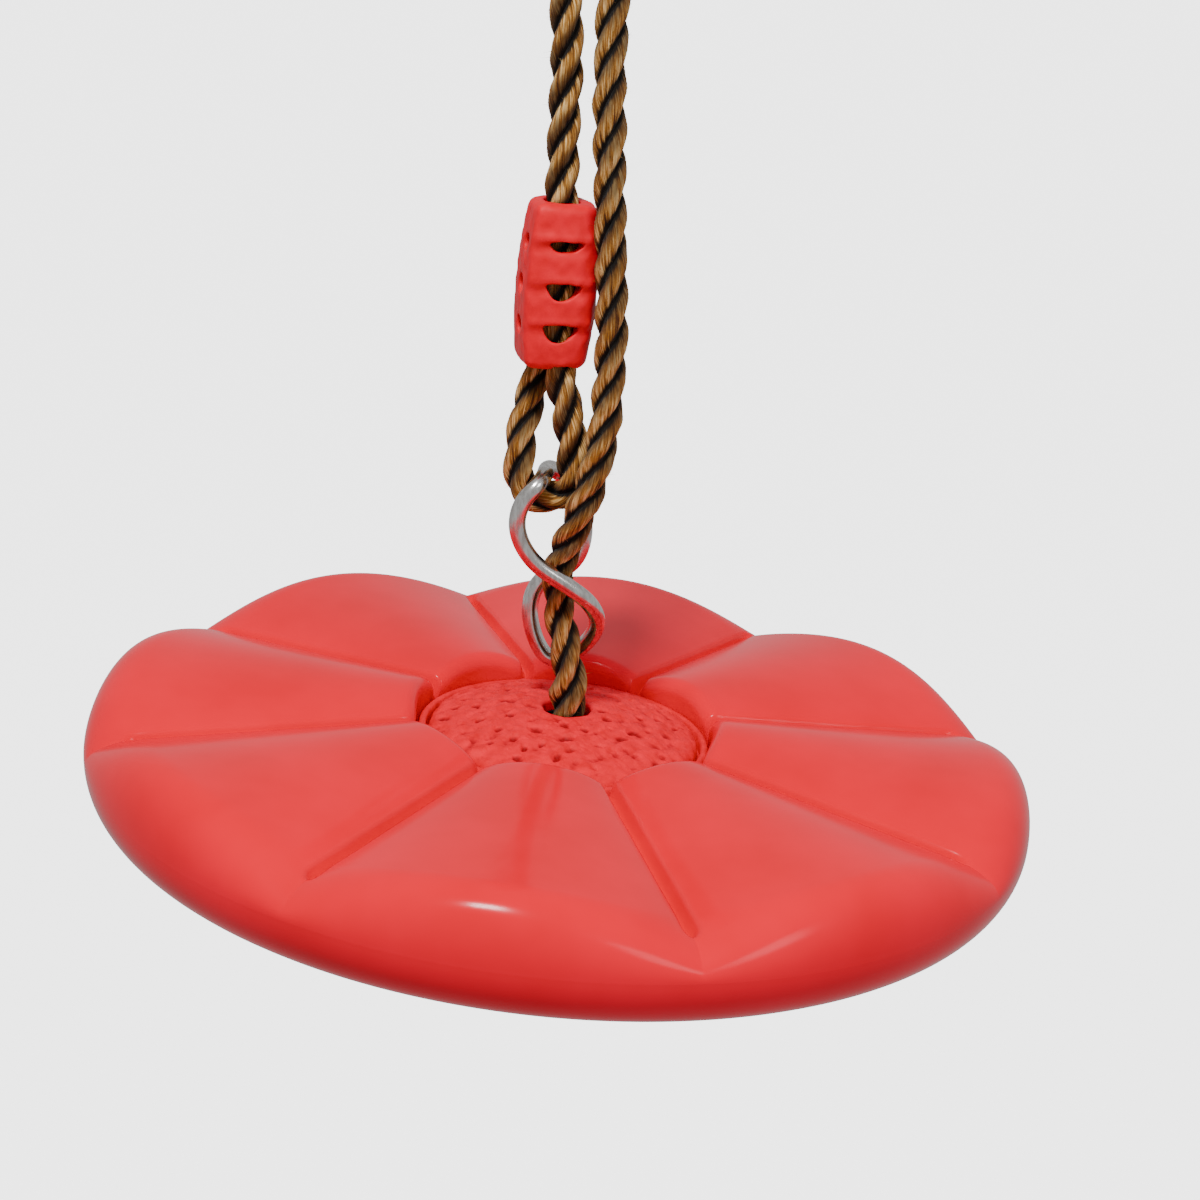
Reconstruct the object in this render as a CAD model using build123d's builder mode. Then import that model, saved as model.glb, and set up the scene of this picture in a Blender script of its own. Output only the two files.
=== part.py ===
from build123d import *

import math
import os

# A child's disc swing: an eight-petal seat hung on one adjustable rope.
#
# The frame has +Z up and its origin where the hook is hung from, inside the hook's top bow.
# The rope runs down from the hook, through a figure-eight adjuster ring and the seat's middle,
# to a stopper knot in a well under the seat. The seat hangs a little out of level.

os.makedirs("parts", exist_ok=True)

# ---- driving dimensions, mm and degrees ----
SEAT_DROP = 333.5            # hang point down to the middle of the seat's underside
SEAT_SHIFT = -10.8           # sideways place of the seat's middle
SEAT_ROLL = 6.06             # how far the seat hangs out of level, right side low
SEAT_RADIUS = 142.5
SEAT_HEIGHT = 35.6
SEAT_WALL = 3.0
PETALS = 8
PETAL_TURN = 15.56           # where the first groove between two petals points
PETAL_CROWN = 132.0          # crown radius across a petal
PARTING_HEIGHT = 16.9        # the rim is widest here, and the two shells meet here
TOP_ROUND = 15.0             # how far the rim's upper edge rounds in
FOOT_ROUND = 15.3            # the same at its lower edge
GROOVE_RADIUS = 2.4
GROOVE_SINK = 1.0            # how far the groove's own centre lies under the petals' valley

DOME_RADIUS = 41.0
DOME_HEIGHT = 35.2
DOME_EDGE_HEIGHT = 27.5
DOME_WALL = 3.0
DOME_SKIRT_FOOT = 12.0
DOME_GAP = 4.2               # ring gap between the dome and the petals
LEDGE_HEIGHT = 24.0
LEDGE_THICK = 2.0
LEDGE_GAP = 0.6
DOME_HOLE_GAP = 2.4          # radial, round the rope where it passes the dome

WELL_RADIUS = 30.0
WELL_HEIGHT = 21.5

ROPE_DIAMETER = 9.6
BUSH_BORE_GAP = 2.1          # radial, round the rope in the bush
BUSH_WALL = 1.5
BUSH_TOP = 31.0
BUSH_FLANGE_RADIUS = 16.0
BUSH_FLANGE_THICK = 2.0
WASHER_RADIUS = 17.0
WASHER_HOLE_GAP = 0.8        # radial, round the rope in the washer
WASHER_THICK = 2.0
KNOT_RADIUS = 12.4
KNOT_HEIGHT = 15.0
TIP_LENGTH = 2.4

RING_WIRE = 5.0

CLAMP_LENGTH = 47.2
CLAMP_FOOT = (-11.6, 1.5, -192.5)
CLAMP_TURN = 12.0            # and is turned this far round its own axis
CLAMP_LEAN = 5.4             # the sleeve leans this far to the right, going up
CLAMP_FOOT_WIDTH = 19.0
CLAMP_BELLY_WIDTH = 22.4
CLAMP_TOP_WIDTH = 18.4
CLAMP_FOOT_DEPTH = 22.0
CLAMP_BELLY_DEPTH = 23.4
CLAMP_TOP_DEPTH = 18.4
CLAMP_EDGE = 8.0             # corner radius of the sleeve's section
WINDOW_LENGTH = 10.5
WINDOW_HEIGHT = 3.0
WINDOW_SPACING = 12.0
WINDOWS = 3
WINDOW_FLOOR = 8.4           # the windows stop this far from the sleeve's middle plane
SIDE_WINDOW_LENGTH = 4.4
SIDE_WINDOW_FLOOR = 8.0
CLAMP_ROPE_GAP = 0.1         # the sleeve gives way to the rope that passes beside it

HOOK_LENGTH = 70.0
HOOK_WIRE = 7.0
HOOK_TOP_HALF = 8.9          # half the width between wire centres, at the top bow
HOOK_FOOT_HALF = 12.6
HOOK_TOP_BEND = 8.4
HOOK_FOOT_BEND = 10.6
GATE_FOOT = 16.5             # gate pin above the lower bow's wire
GATE_TOP = 48.5              # top of the gate above the lower bow's wire
GATE_WIDTH = 7.0
GATE_DEPTH = 6.4
GATE_FOOT_CLEARANCE = 4.8    # the wire stops this far below the gate's pin
GATE_TONGUE = 3.0
GATE_PIN_RADIUS = 1.25
GATE_PIN_HEAD = 2.1
GATE_BORE_RADIUS = 1.7
GATE_BORE_DEPTH = 15.0
SPRING_WIRE = 0.5
SPRING_TURNS = 6
SPRING_PITCH = 1.5

# ---- fits ----
RUNNING_FIT = 0.05           # radial, pin in its hole
BUSH_FIT = 0.1               # radial, bush in the seat
FACE_GAP = 0.1               # between flat faces that turn on each other
KNOT_GAP = 0.6               # between the washer and the knot's round top
SIDE_GAP = 0.25              # gate's cheeks beside the hook's tongue
NOSE_GAP = 0.4               # gate's end under the hook's nose

# ---- derived places ----
TILT = math.radians(SEAT_ROLL)
SEAT = Plane(
    origin=(SEAT_SHIFT, 0, -SEAT_DROP),
    x_dir=(math.cos(TILT), 0, -math.sin(TILT)),
    z_dir=(math.sin(TILT), 0, math.cos(TILT)),
)
SEAT_AXIS = Axis(SEAT.origin, SEAT.z_dir)
PETAL_ANGLE = 360 / PETALS
ROPE_RADIUS = ROPE_DIAMETER / 2
HOOK_TOP_WIRE = HOOK_WIRE / 2
HOOK_FOOT_WIRE = HOOK_TOP_WIRE - (HOOK_LENGTH - HOOK_WIRE)
OPENING_RADIUS = DOME_RADIUS + DOME_GAP
DOME_HOLE_RADIUS = ROPE_RADIUS + DOME_HOLE_GAP
BUSH_BORE_RADIUS = ROPE_RADIUS + BUSH_BORE_GAP
BUSH_RADIUS = BUSH_BORE_RADIUS + BUSH_WALL
WASHER_HOLE_RADIUS = ROPE_RADIUS + WASHER_HOLE_GAP
FLANGE_HEIGHT = WELL_HEIGHT - BUSH_FLANGE_THICK
WASHER_HEIGHT = FLANGE_HEIGHT - FACE_GAP - WASHER_THICK
KNOT_TOP = WASHER_HEIGHT - KNOT_GAP

# The rope's centreline, from its cut end inside the clamp to the stopper knot.
ROPE_ROUTE = [
    (-10.8, 6.6, -170.0),
    (-12.1, 6.6, -186.5),
    (-17.4, 3.9, -203.5),
    (-20.8, 0.4, -216.5),
    (-20.6, 0.0, -232.8),
    (-5.0, 0.0, -232.8),
    (-4.9, -0.4, -217.5),
    (-6.6, -2.6, -204.5),
    (-10.1, -3.6, -186.5),
    (-9.3, -3.6, -169.5),
    (-7.8, 0.2, -153.5),
    (-7.7, 1.0, -135.5),
    (-6.2, 0.4, -111.5),
    (-5.9, 0.0, -91.5),
    (-8.8, 0.0, -71.5),
    (-8.8, 0.0, -50.7),
    (8.8, 0.0, -50.7),
    (8.8, 0.0, -71.5),
    (6.1, -1.6, -95.5),
    (5.7, -4.4, -123.5),
    (5.9, -6.4, -148.5),
    (6.5, -6.6, -174.5),
    (5.8, -6.6, -199.5),
    (2.8, -9.4, -219.5),
    (-4.0, -9.0, -238.5),
    (-9.4, -0.4, -253.0),
    (-9.6, 0.8, -266.5),
    (-7.2, -2.0, -279.5),
    (-6.0, -1.6, -291.5),
    (-7.6, 0.0, -305.5),
    (-9.2, 0.0, -319.0),
]
EYE_CORNERS = (4, 5)         # the rope's turn round the adjuster ring
HOOK_CORNERS = (15, 16)      # and round the hook
EYE_TURN_RADIUS = ROPE_RADIUS + RING_WIRE / 2 + 0.3
HOOK_TURN_RADIUS = ROPE_RADIUS + HOOK_WIRE / 2 + 0.3
ROUTE_SHARE = 0.45           # an arc takes this share of the shorter run beside it

# Each rope node runs between two joins, given as (run, share of that run).
ROPE_NODES = {
    "rope_eye": ((0, 0.0), (10, 0.5)),
    "rope_left_leg": ((10, 0.5), (14, 0.5)),
    "rope_bight": ((14, 0.5), (16, 0.5)),
    "rope_right_leg": ((16, 0.5), (21, 0.5)),
    "rope_throat": ((21, 0.5), (27, 0.5)),
    "rope_lower": ((27, 0.5), (29, 1.0)),
}
TAIL_ROUTE = [(-5.0, 0.5, -323.4), (1.2, 2.2, -325.2), (6.6, 5.6, -326.2)]

# The adjuster ring's wire: over the eye, down the front, across, and up the back.
RING_ROUTE = [
    (-13.2, -8.6, -224.8),
    (-20.2, -10.6, -231.5),
    (-21.6, -9.6, -240.5),
    (-16.8, -9.4, -250.0),
    (-7.2, -8.2, -256.9),
    (0.6, -6.4, -263.5),
    (3.0, 1.0, -273.0),
    (-2.8, 7.4, -282.9),
    (-12.2, 8.4, -287.5),
    (-17.2, 9.0, -279.5),
    (-18.8, 9.6, -268.5),
    (-14.4, 10.2, -259.9),
    (-4.8, 10.4, -257.3),
    (-0.8, 10.2, -246.5),
    (-3.6, 10.4, -232.5),
    (-12.4, 8.6, -224.8),
]


def finish(piece, name):
    """Label a finished piece and write it to its own file."""
    piece.part.label = name
    export_step(piece.part, f"parts/{name}.step")


def point_on(route, run, share):
    """The point that lies a share of the way along one run of a route."""
    start, end = Vector(route[run]), Vector(route[run + 1])
    return start + (end - start) * share


def corner_radius(before, corner, after):
    """The largest tangent arc that the two runs at a corner leave room for."""
    back, ahead = Vector(before) - Vector(corner), Vector(after) - Vector(corner)
    half_turn = math.radians(180 - back.get_angle(ahead)) / 2
    return ROUTE_SHARE * min(back.length, ahead.length) / math.tan(half_turn)


def route_radii(route, fixed, closed=False):
    """The arc radius at each corner of a route, with some corners fixed by what they go round."""
    count = len(route)
    corners = range(count) if closed else range(1, count - 1)
    return {
        i: fixed.get(i, corner_radius(route[i - 1], route[i], route[(i + 1) % count]))
        for i in corners
    }


def corner_arc(before, corner, after, radius):
    """Start, middle and end of the arc that rounds a corner, tangent to its two runs."""
    back = (Vector(before) - Vector(corner)).normalized()
    ahead = (Vector(after) - Vector(corner)).normalized()
    half_turn = math.radians(180 - back.get_angle(ahead)) / 2
    reach = radius * math.tan(half_turn)
    depth = radius / math.cos(half_turn) - radius
    middle = Vector(corner) + (back + ahead).normalized() * depth
    return Vector(corner) + back * reach, middle, Vector(corner) + ahead * reach


def tube(points, radii, radius):
    """A round bar swept along straight runs joined by arcs."""
    arcs = [
        corner_arc(before, corner, after, bend)
        for before, corner, after, bend in zip(points, points[1:], points[2:], radii)
    ]
    stops = [(Vector(points[0]),), *arcs, (Vector(points[-1]),)]
    with BuildPart() as bar:
        with BuildLine() as path:
            for last, stop in zip(stops, stops[1:]):
                Line(last[-1], stop[0])
                if len(stop) > 1:
                    ThreePointArc(*stop)
        route = path.wires()[0]
        with BuildSketch(Plane(origin=route @ 0, z_dir=route % 0)):
            Circle(radius)
        sweep(path=route)
    expected = math.pi * radius**2 * route.length
    print(f"  volume / (section x length) = {bar.part.volume / expected:.4f}")
    return bar.part


def seat_side(angle=0.0):
    """The plane through the seat's axis at an angle round it: x is outwards, y is up."""
    outwards = SEAT.x_dir.rotate(Axis((0, 0, 0), SEAT.z_dir), angle)
    return Plane(
        origin=SEAT.origin,
        x_dir=outwards,
        z_dir=outwards.cross(SEAT.z_dir),
    )


def petal(number, inset):
    """One sector of the seat's full outer form, made smaller all round by an inset."""
    start = PETAL_TURN + number * PETAL_ANGLE
    reach = SEAT_RADIUS - inset
    crown = SEAT_HEIGHT - inset
    foot = inset
    middle = seat_side(start + PETAL_ANGLE / 2)
    with BuildPart() as sector:
        with BuildSketch(seat_side(start)):
            with BuildLine():
                Line((0, foot), (SEAT_RADIUS - FOOT_ROUND, foot))
                EllipticalCenterArc(
                    (SEAT_RADIUS - FOOT_ROUND, PARTING_HEIGHT),
                    FOOT_ROUND - inset,
                    PARTING_HEIGHT - foot,
                    start_angle=270,
                    arc_size=90,
                )
                EllipticalCenterArc(
                    (SEAT_RADIUS - TOP_ROUND, PARTING_HEIGHT),
                    TOP_ROUND - inset,
                    crown - PARTING_HEIGHT,
                    start_angle=0,
                    arc_size=90,
                )
                Line((SEAT_RADIUS - TOP_ROUND, crown), (0, crown))
                Line((0, crown), (0, foot))
            make_face()
        revolve(axis=SEAT_AXIS, revolution_arc=PETAL_ANGLE)
        with BuildSketch(Plane(SEAT.origin, x_dir=-middle.z_dir, z_dir=middle.x_dir)):
            with Locations((0, crown - PETAL_CROWN)):
                Circle(PETAL_CROWN)
        extrude(amount=reach + SEAT_WALL, mode=Mode.INTERSECT)
    return sector.part


def groove(number):
    """The round-bottomed channel between two petals, which sinks towards the rim."""
    angle = math.radians(PETAL_ANGLE / 2)
    inner, outer = OPENING_RADIUS - SEAT_WALL, SEAT_RADIUS - TOP_ROUND
    side = seat_side(PETAL_TURN + number * PETAL_ANGLE)
    points = []
    for reach in (inner, (inner + outer) / 2, outer):
        valley = SEAT_HEIGHT - (reach * math.sin(angle)) ** 2 / (2 * PETAL_CROWN)
        points.append((reach, valley + GROOVE_RADIUS - GROOVE_SINK))
    with BuildPart() as channel:
        with BuildLine(side) as path:
            ThreePointArc(*points)
        with BuildSketch(Plane(origin=path.line @ 0, z_dir=path.line % 0)):
            Circle(GROOVE_RADIUS)
        sweep(path=path.line)
    return channel.part


outer_form = [petal(number, 0) for number in range(PETALS)]
inner_form = [petal(number, SEAT_WALL) for number in range(PETALS)]
grooves = [groove(number) for number in range(PETALS)]

# ---- seat ----
with BuildPart() as seat_petal_shell:
    add(outer_form)
    add(inner_form, mode=Mode.SUBTRACT)
    with BuildSketch(SEAT.offset(PARTING_HEIGHT)):
        Circle(SEAT_RADIUS + SEAT_WALL)
    extrude(amount=-SEAT_RADIUS, mode=Mode.SUBTRACT)
    with BuildSketch(SEAT.offset(SEAT_WALL)):
        Circle(OPENING_RADIUS + SEAT_WALL)
    extrude(amount=SEAT_HEIGHT - 2 * SEAT_WALL)
    with BuildSketch(SEAT):
        Circle(OPENING_RADIUS)
    extrude(amount=SEAT_HEIGHT, mode=Mode.SUBTRACT)
    add(grooves, mode=Mode.SUBTRACT)
finish(seat_petal_shell, "seat_petal_shell")

with BuildPart() as seat_base_shell:
    add(outer_form)
    add(inner_form, mode=Mode.SUBTRACT)
    with BuildSketch(SEAT.offset(PARTING_HEIGHT)):
        Circle(SEAT_RADIUS + SEAT_WALL)
    extrude(amount=SEAT_RADIUS, mode=Mode.SUBTRACT)
    with BuildSketch(SEAT):
        Circle(WELL_RADIUS + SEAT_WALL)
    extrude(amount=WELL_HEIGHT + SEAT_WALL)
    with BuildSketch(SEAT):
        Circle(WELL_RADIUS)
    extrude(amount=WELL_HEIGHT, mode=Mode.SUBTRACT)
    with BuildSketch(SEAT):
        Circle(BUSH_RADIUS + BUSH_FIT)
    extrude(amount=SEAT_HEIGHT, mode=Mode.SUBTRACT)
finish(seat_base_shell, "seat_base_shell")

dome_rise = DOME_HEIGHT - DOME_EDGE_HEIGHT
with BuildPart() as centre_dome:
    with BuildSketch(seat_side()):
        with BuildLine():
            sphere_radius = (DOME_RADIUS**2 + dome_rise**2) / (2 * dome_rise)
            top = ThreePointArc(
                (0, DOME_HEIGHT),
                (
                    DOME_RADIUS / 2,
                    DOME_HEIGHT
                    - sphere_radius
                    + math.sqrt(sphere_radius**2 - (DOME_RADIUS / 2) ** 2),
                ),
                (DOME_RADIUS, DOME_EDGE_HEIGHT),
            )
            Polyline(
                (DOME_RADIUS, DOME_EDGE_HEIGHT),
                (DOME_RADIUS, LEDGE_HEIGHT + LEDGE_THICK),
                (OPENING_RADIUS - LEDGE_GAP, LEDGE_HEIGHT + LEDGE_THICK),
                (OPENING_RADIUS - LEDGE_GAP, LEDGE_HEIGHT),
                (DOME_RADIUS, LEDGE_HEIGHT),
                (DOME_RADIUS, DOME_SKIRT_FOOT),
                (DOME_RADIUS - DOME_WALL, DOME_SKIRT_FOOT),
                (DOME_RADIUS - DOME_WALL, DOME_EDGE_HEIGHT - DOME_WALL),
            )
            Line((DOME_RADIUS - DOME_WALL, DOME_EDGE_HEIGHT - DOME_WALL), (0, DOME_HEIGHT - DOME_WALL))
            Line((0, DOME_HEIGHT - DOME_WALL), (0, DOME_HEIGHT))
        make_face()
    revolve(axis=SEAT_AXIS)
    with BuildSketch(SEAT.offset(WELL_HEIGHT + SEAT_WALL)):
        Circle(BUSH_RADIUS + BUSH_FIT + DOME_WALL)
    extrude(amount=DOME_HEIGHT - DOME_WALL - WELL_HEIGHT - SEAT_WALL)
    with BuildSketch(SEAT.offset(WELL_HEIGHT)):
        Circle(BUSH_RADIUS + BUSH_FIT)
    extrude(amount=BUSH_TOP + BUSH_FIT - WELL_HEIGHT, mode=Mode.SUBTRACT)
    with BuildSketch(SEAT):
        Circle(DOME_HOLE_RADIUS)
    extrude(amount=2 * SEAT_HEIGHT, mode=Mode.SUBTRACT)
finish(centre_dome, "centre_dome")

with BuildPart() as rope_bush:
    with BuildSketch(SEAT.offset(FLANGE_HEIGHT)):
        Circle(BUSH_FLANGE_RADIUS)
    extrude(amount=BUSH_FLANGE_THICK)
    with BuildSketch(SEAT.offset(FLANGE_HEIGHT)):
        Circle(BUSH_RADIUS)
    extrude(amount=BUSH_TOP - FLANGE_HEIGHT)
    with BuildSketch(SEAT.offset(FLANGE_HEIGHT)):
        Circle(BUSH_BORE_RADIUS)
    extrude(amount=BUSH_TOP - FLANGE_HEIGHT, mode=Mode.SUBTRACT)
finish(rope_bush, "rope_bush")

with BuildPart() as load_washer:
    with BuildSketch(SEAT.offset(WASHER_HEIGHT)):
        Circle(WASHER_RADIUS)
        Circle(WASHER_HOLE_RADIUS, mode=Mode.SUBTRACT)
    extrude(amount=WASHER_THICK)
finish(load_washer, "load_washer")

# ---- rope ----
rope_radii = route_radii(
    ROPE_ROUTE,
    {
        **{corner: EYE_TURN_RADIUS for corner in EYE_CORNERS},
        **{corner: HOOK_TURN_RADIUS for corner in HOOK_CORNERS},
    },
)
print("rope radii", {corner: round(radius, 1) for corner, radius in rope_radii.items()})
for name, ((first_run, first_share), (last_run, last_share)) in ROPE_NODES.items():
    inside = list(range(first_run + 1, last_run + 1))
    ends = (
        point_on(ROPE_ROUTE, first_run, first_share),
        point_on(ROPE_ROUTE, last_run, last_share),
    )
    points = [ends[0], *(Vector(ROPE_ROUTE[corner]) for corner in inside), ends[1]]
    print(name)
    with BuildPart() as rope_piece:
        add(tube(points, [rope_radii[corner] for corner in inside], ROPE_RADIUS))
    if name == "rope_eye":
        rope_in_clamp = rope_piece.part
    if name == "rope_right_leg":
        bends = [rope_radii[corner] for corner in inside]
        room_beside_clamp = tube(points, bends, ROPE_RADIUS + CLAMP_ROPE_GAP)
    finish(rope_piece, name)

with BuildPart() as stopper_knot:
    knot_middle = KNOT_TOP - KNOT_HEIGHT / 2
    with BuildSketch(seat_side()):
        with BuildLine():
            half = KNOT_HEIGHT / 2
            Line((0, knot_middle + half), (KNOT_RADIUS - half, knot_middle + half))
            ThreePointArc(
                (KNOT_RADIUS - half, knot_middle + half),
                (KNOT_RADIUS, knot_middle),
                (KNOT_RADIUS - half, knot_middle - half),
            )
            Line((KNOT_RADIUS - half, knot_middle - half), (0, knot_middle - half))
            Line((0, knot_middle - half), (0, knot_middle + half))
        make_face()
    revolve(axis=SEAT_AXIS)
finish(stopper_knot, "stopper_knot")

tail_radii = route_radii(TAIL_ROUTE, {})
print("rope_tail", [round(radius, 1) for radius in tail_radii.values()])
with BuildPart() as rope_tail:
    add(tube(TAIL_ROUTE, list(tail_radii.values()), ROPE_RADIUS))
finish(rope_tail, "rope_tail")

with BuildPart() as rope_tip:
    tip_run = Vector(TAIL_ROUTE[-1]) - Vector(TAIL_ROUTE[-2])
    with BuildSketch(Plane(origin=TAIL_ROUTE[-1], z_dir=tip_run)):
        Circle(ROPE_RADIUS)
    extrude(amount=TIP_LENGTH)
    chamfer(rope_tip.faces().sort_by(Axis(TAIL_ROUTE[-1], tip_run))[-1].edges(), TIP_LENGTH / 2)
finish(rope_tip, "rope_tip")

# ---- adjuster ----
clamp_lean = math.radians(CLAMP_LEAN)
CLAMP = Plane(
    origin=CLAMP_FOOT,
    x_dir=(math.cos(clamp_lean), 0, -math.sin(clamp_lean)),
    z_dir=(math.sin(clamp_lean), 0, math.cos(clamp_lean)),
).rotated((0, 0, CLAMP_TURN))
with BuildPart() as rope_clamp:
    for height, width, depth in (
        (0, CLAMP_FOOT_WIDTH, CLAMP_FOOT_DEPTH),
        (CLAMP_LENGTH / 2, CLAMP_BELLY_WIDTH, CLAMP_BELLY_DEPTH),
        (CLAMP_LENGTH, CLAMP_TOP_WIDTH, CLAMP_TOP_DEPTH),
    ):
        with BuildSketch(CLAMP.offset(height)):
            RectangleRounded(width, depth, CLAMP_EDGE)
    loft()
    window_heights = [
        CLAMP_LENGTH / 2 + (number - (WINDOWS - 1) / 2) * WINDOW_SPACING for number in range(WINDOWS)
    ]
    front = Plane(origin=CLAMP.origin, x_dir=CLAMP.x_dir, z_dir=-CLAMP.y_dir)
    with BuildSketch(front.offset(WINDOW_FLOOR)):
        with Locations(*[(0, height) for height in window_heights]):
            SlotOverall(WINDOW_LENGTH, WINDOW_HEIGHT)
    extrude(amount=CLAMP_BELLY_DEPTH, mode=Mode.SUBTRACT)
    left = Plane(origin=CLAMP.origin, x_dir=CLAMP.y_dir, z_dir=-CLAMP.x_dir)
    with BuildSketch(left.offset(SIDE_WINDOW_FLOOR)):
        with Locations(*[(0, height) for height in window_heights]):
            SlotOverall(SIDE_WINDOW_LENGTH, WINDOW_HEIGHT)
    extrude(amount=CLAMP_BELLY_WIDTH, mode=Mode.SUBTRACT)
    add(rope_in_clamp, mode=Mode.SUBTRACT)
    add(room_beside_clamp, mode=Mode.SUBTRACT)
finish(rope_clamp, "rope_clamp")

print("adjuster_ring")
ring_radii = route_radii(RING_ROUTE, {}, closed=True)
half_ring = len(RING_ROUTE) // 2
ring_loop = RING_ROUTE + RING_ROUTE[:1]
with BuildPart() as adjuster_ring:
    for first in (0, half_ring):
        corners = range(first, first + half_ring)
        start = point_on(ring_loop, corners[0] - 1 if first else len(RING_ROUTE) - 1, 0.5)
        end = point_on(ring_loop, corners[-1], 0.5)
        points = [start, *(Vector(RING_ROUTE[corner]) for corner in corners), end]
        add(tube(points, [ring_radii[corner] for corner in corners], RING_WIRE / 2))
finish(adjuster_ring, "adjuster_ring")

# ---- hook: a bent-wire body in the YZ plane, its gate on the front ----
side_slope = (HOOK_FOOT_HALF - HOOK_TOP_HALF) / (HOOK_LENGTH - HOOK_WIRE)


def front_side(height):
    """A point on the hook's front wire line, a height above the lower bow's wire."""
    return Vector(0, -(HOOK_FOOT_HALF - side_slope * height), HOOK_FOOT_WIRE + height)


gate_pin_point = front_side(GATE_FOOT)
gate_run = front_side(GATE_TOP) - gate_pin_point
GATE = Plane(origin=gate_pin_point, x_dir=(1, 0, 0), z_dir=gate_run)
NOSE = Plane(origin=front_side(GATE_TOP), x_dir=(1, 0, 0), z_dir=gate_run)
hook_points = [
    front_side(GATE_TOP) + GATE.z_dir * NOSE_GAP,
    Vector(0, -HOOK_TOP_HALF, HOOK_TOP_WIRE),
    Vector(0, HOOK_TOP_HALF, HOOK_TOP_WIRE),
    Vector(0, HOOK_FOOT_HALF, HOOK_FOOT_WIRE),
    Vector(0, -HOOK_FOOT_HALF, HOOK_FOOT_WIRE),
    gate_pin_point - GATE.z_dir * GATE_FOOT_CLEARANCE,
]
print("hook_body")
with BuildPart() as hook_body:
    bends = [HOOK_TOP_BEND, HOOK_TOP_BEND, HOOK_FOOT_BEND, HOOK_FOOT_BEND]
    add(tube(hook_points, bends, HOOK_WIRE / 2))
    with BuildSketch(Plane(origin=gate_pin_point, x_dir=GATE.y_dir, z_dir=GATE.x_dir)):
        with Locations((0, -GATE_DEPTH / 2)):
            SlotCenterToCenter(GATE_DEPTH, GATE_DEPTH - SIDE_GAP, rotation=90)
        Circle(GATE_PIN_RADIUS + RUNNING_FIT, mode=Mode.SUBTRACT)
    extrude(amount=GATE_TONGUE / 2, both=True)
finish(hook_body, "hook_body")

with BuildPart() as gate_pin:
    with BuildSketch(Plane(origin=gate_pin_point, x_dir=(0, 1, 0), z_dir=(1, 0, 0))):
        Circle(GATE_PIN_RADIUS)
    extrude(amount=GATE_WIDTH / 2 + SIDE_GAP, both=True)
    for side in (-1, 1):
        head = Plane(
            origin=gate_pin_point + Vector(side * (GATE_WIDTH / 2 + SIDE_GAP), 0, 0),
            x_dir=(0, 1, 0),
            z_dir=(side, 0, 0),
        )
        with BuildSketch(head):
            Circle(GATE_PIN_HEAD)
        extrude(amount=GATE_PIN_RADIUS / 2)
finish(gate_pin, "gate_pin")

with BuildPart() as hook_gate:
    with BuildSketch(GATE.offset(-GATE_DEPTH / 2)):
        RectangleRounded(GATE_WIDTH, GATE_DEPTH, GATE_DEPTH / 4)
    extrude(amount=GATE_DEPTH / 2 + gate_run.length)
    with BuildSketch(GATE.offset(-GATE_DEPTH)):
        Rectangle(GATE_TONGUE + 2 * SIDE_GAP, 2 * GATE_DEPTH)
    extrude(amount=GATE_DEPTH + GATE_DEPTH / 2 + SIDE_GAP, mode=Mode.SUBTRACT)
    with BuildSketch(Plane(origin=gate_pin_point, x_dir=(0, 1, 0), z_dir=(1, 0, 0))):
        Circle(GATE_PIN_RADIUS + RUNNING_FIT)
    extrude(amount=GATE_WIDTH, both=True, mode=Mode.SUBTRACT)
    with BuildSketch(GATE.offset(GATE_DEPTH / 2)):
        Circle(GATE_BORE_RADIUS)
    extrude(amount=GATE_BORE_DEPTH, mode=Mode.SUBTRACT)
finish(hook_gate, "hook_gate")

spring_foot = GATE_DEPTH / 2 + SIDE_GAP + 2 * GATE_BORE_RADIUS
with BuildPart() as gate_plunger:
    with BuildSketch(GATE.offset(GATE_DEPTH / 2 + SIDE_GAP)):
        Circle(GATE_BORE_RADIUS - RUNNING_FIT)
    extrude(amount=spring_foot - GATE_DEPTH / 2 - SIDE_GAP - SPRING_WIRE)
finish(gate_plunger, "gate_plunger")

with BuildPart() as gate_spring:
    with BuildLine() as coil:
        Helix(
            pitch=SPRING_PITCH,
            height=SPRING_PITCH * SPRING_TURNS,
            radius=GATE_BORE_RADIUS - SPRING_WIRE,
            center=GATE.offset(spring_foot).origin,
            direction=GATE.z_dir,
        )
    with BuildSketch(Plane(origin=coil.line @ 0, z_dir=coil.line % 0)):
        Circle(SPRING_WIRE / 2)
    sweep(path=coil.line)
finish(gate_spring, "gate_spring")
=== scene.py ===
"""A petal disc swing on one adjustable rope, dressed over its CAD frame.

Everything is in metres in the frame's own axes. Sizes held by the classes are in millimetres,
and MM turns them into metres where a mesh is made.
"""

from __future__ import annotations

import logging
import math
from dataclasses import dataclass, field
from enum import Enum

import bmesh
import bpy
import numpy as np
from mathutils import Matrix, Vector


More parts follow.
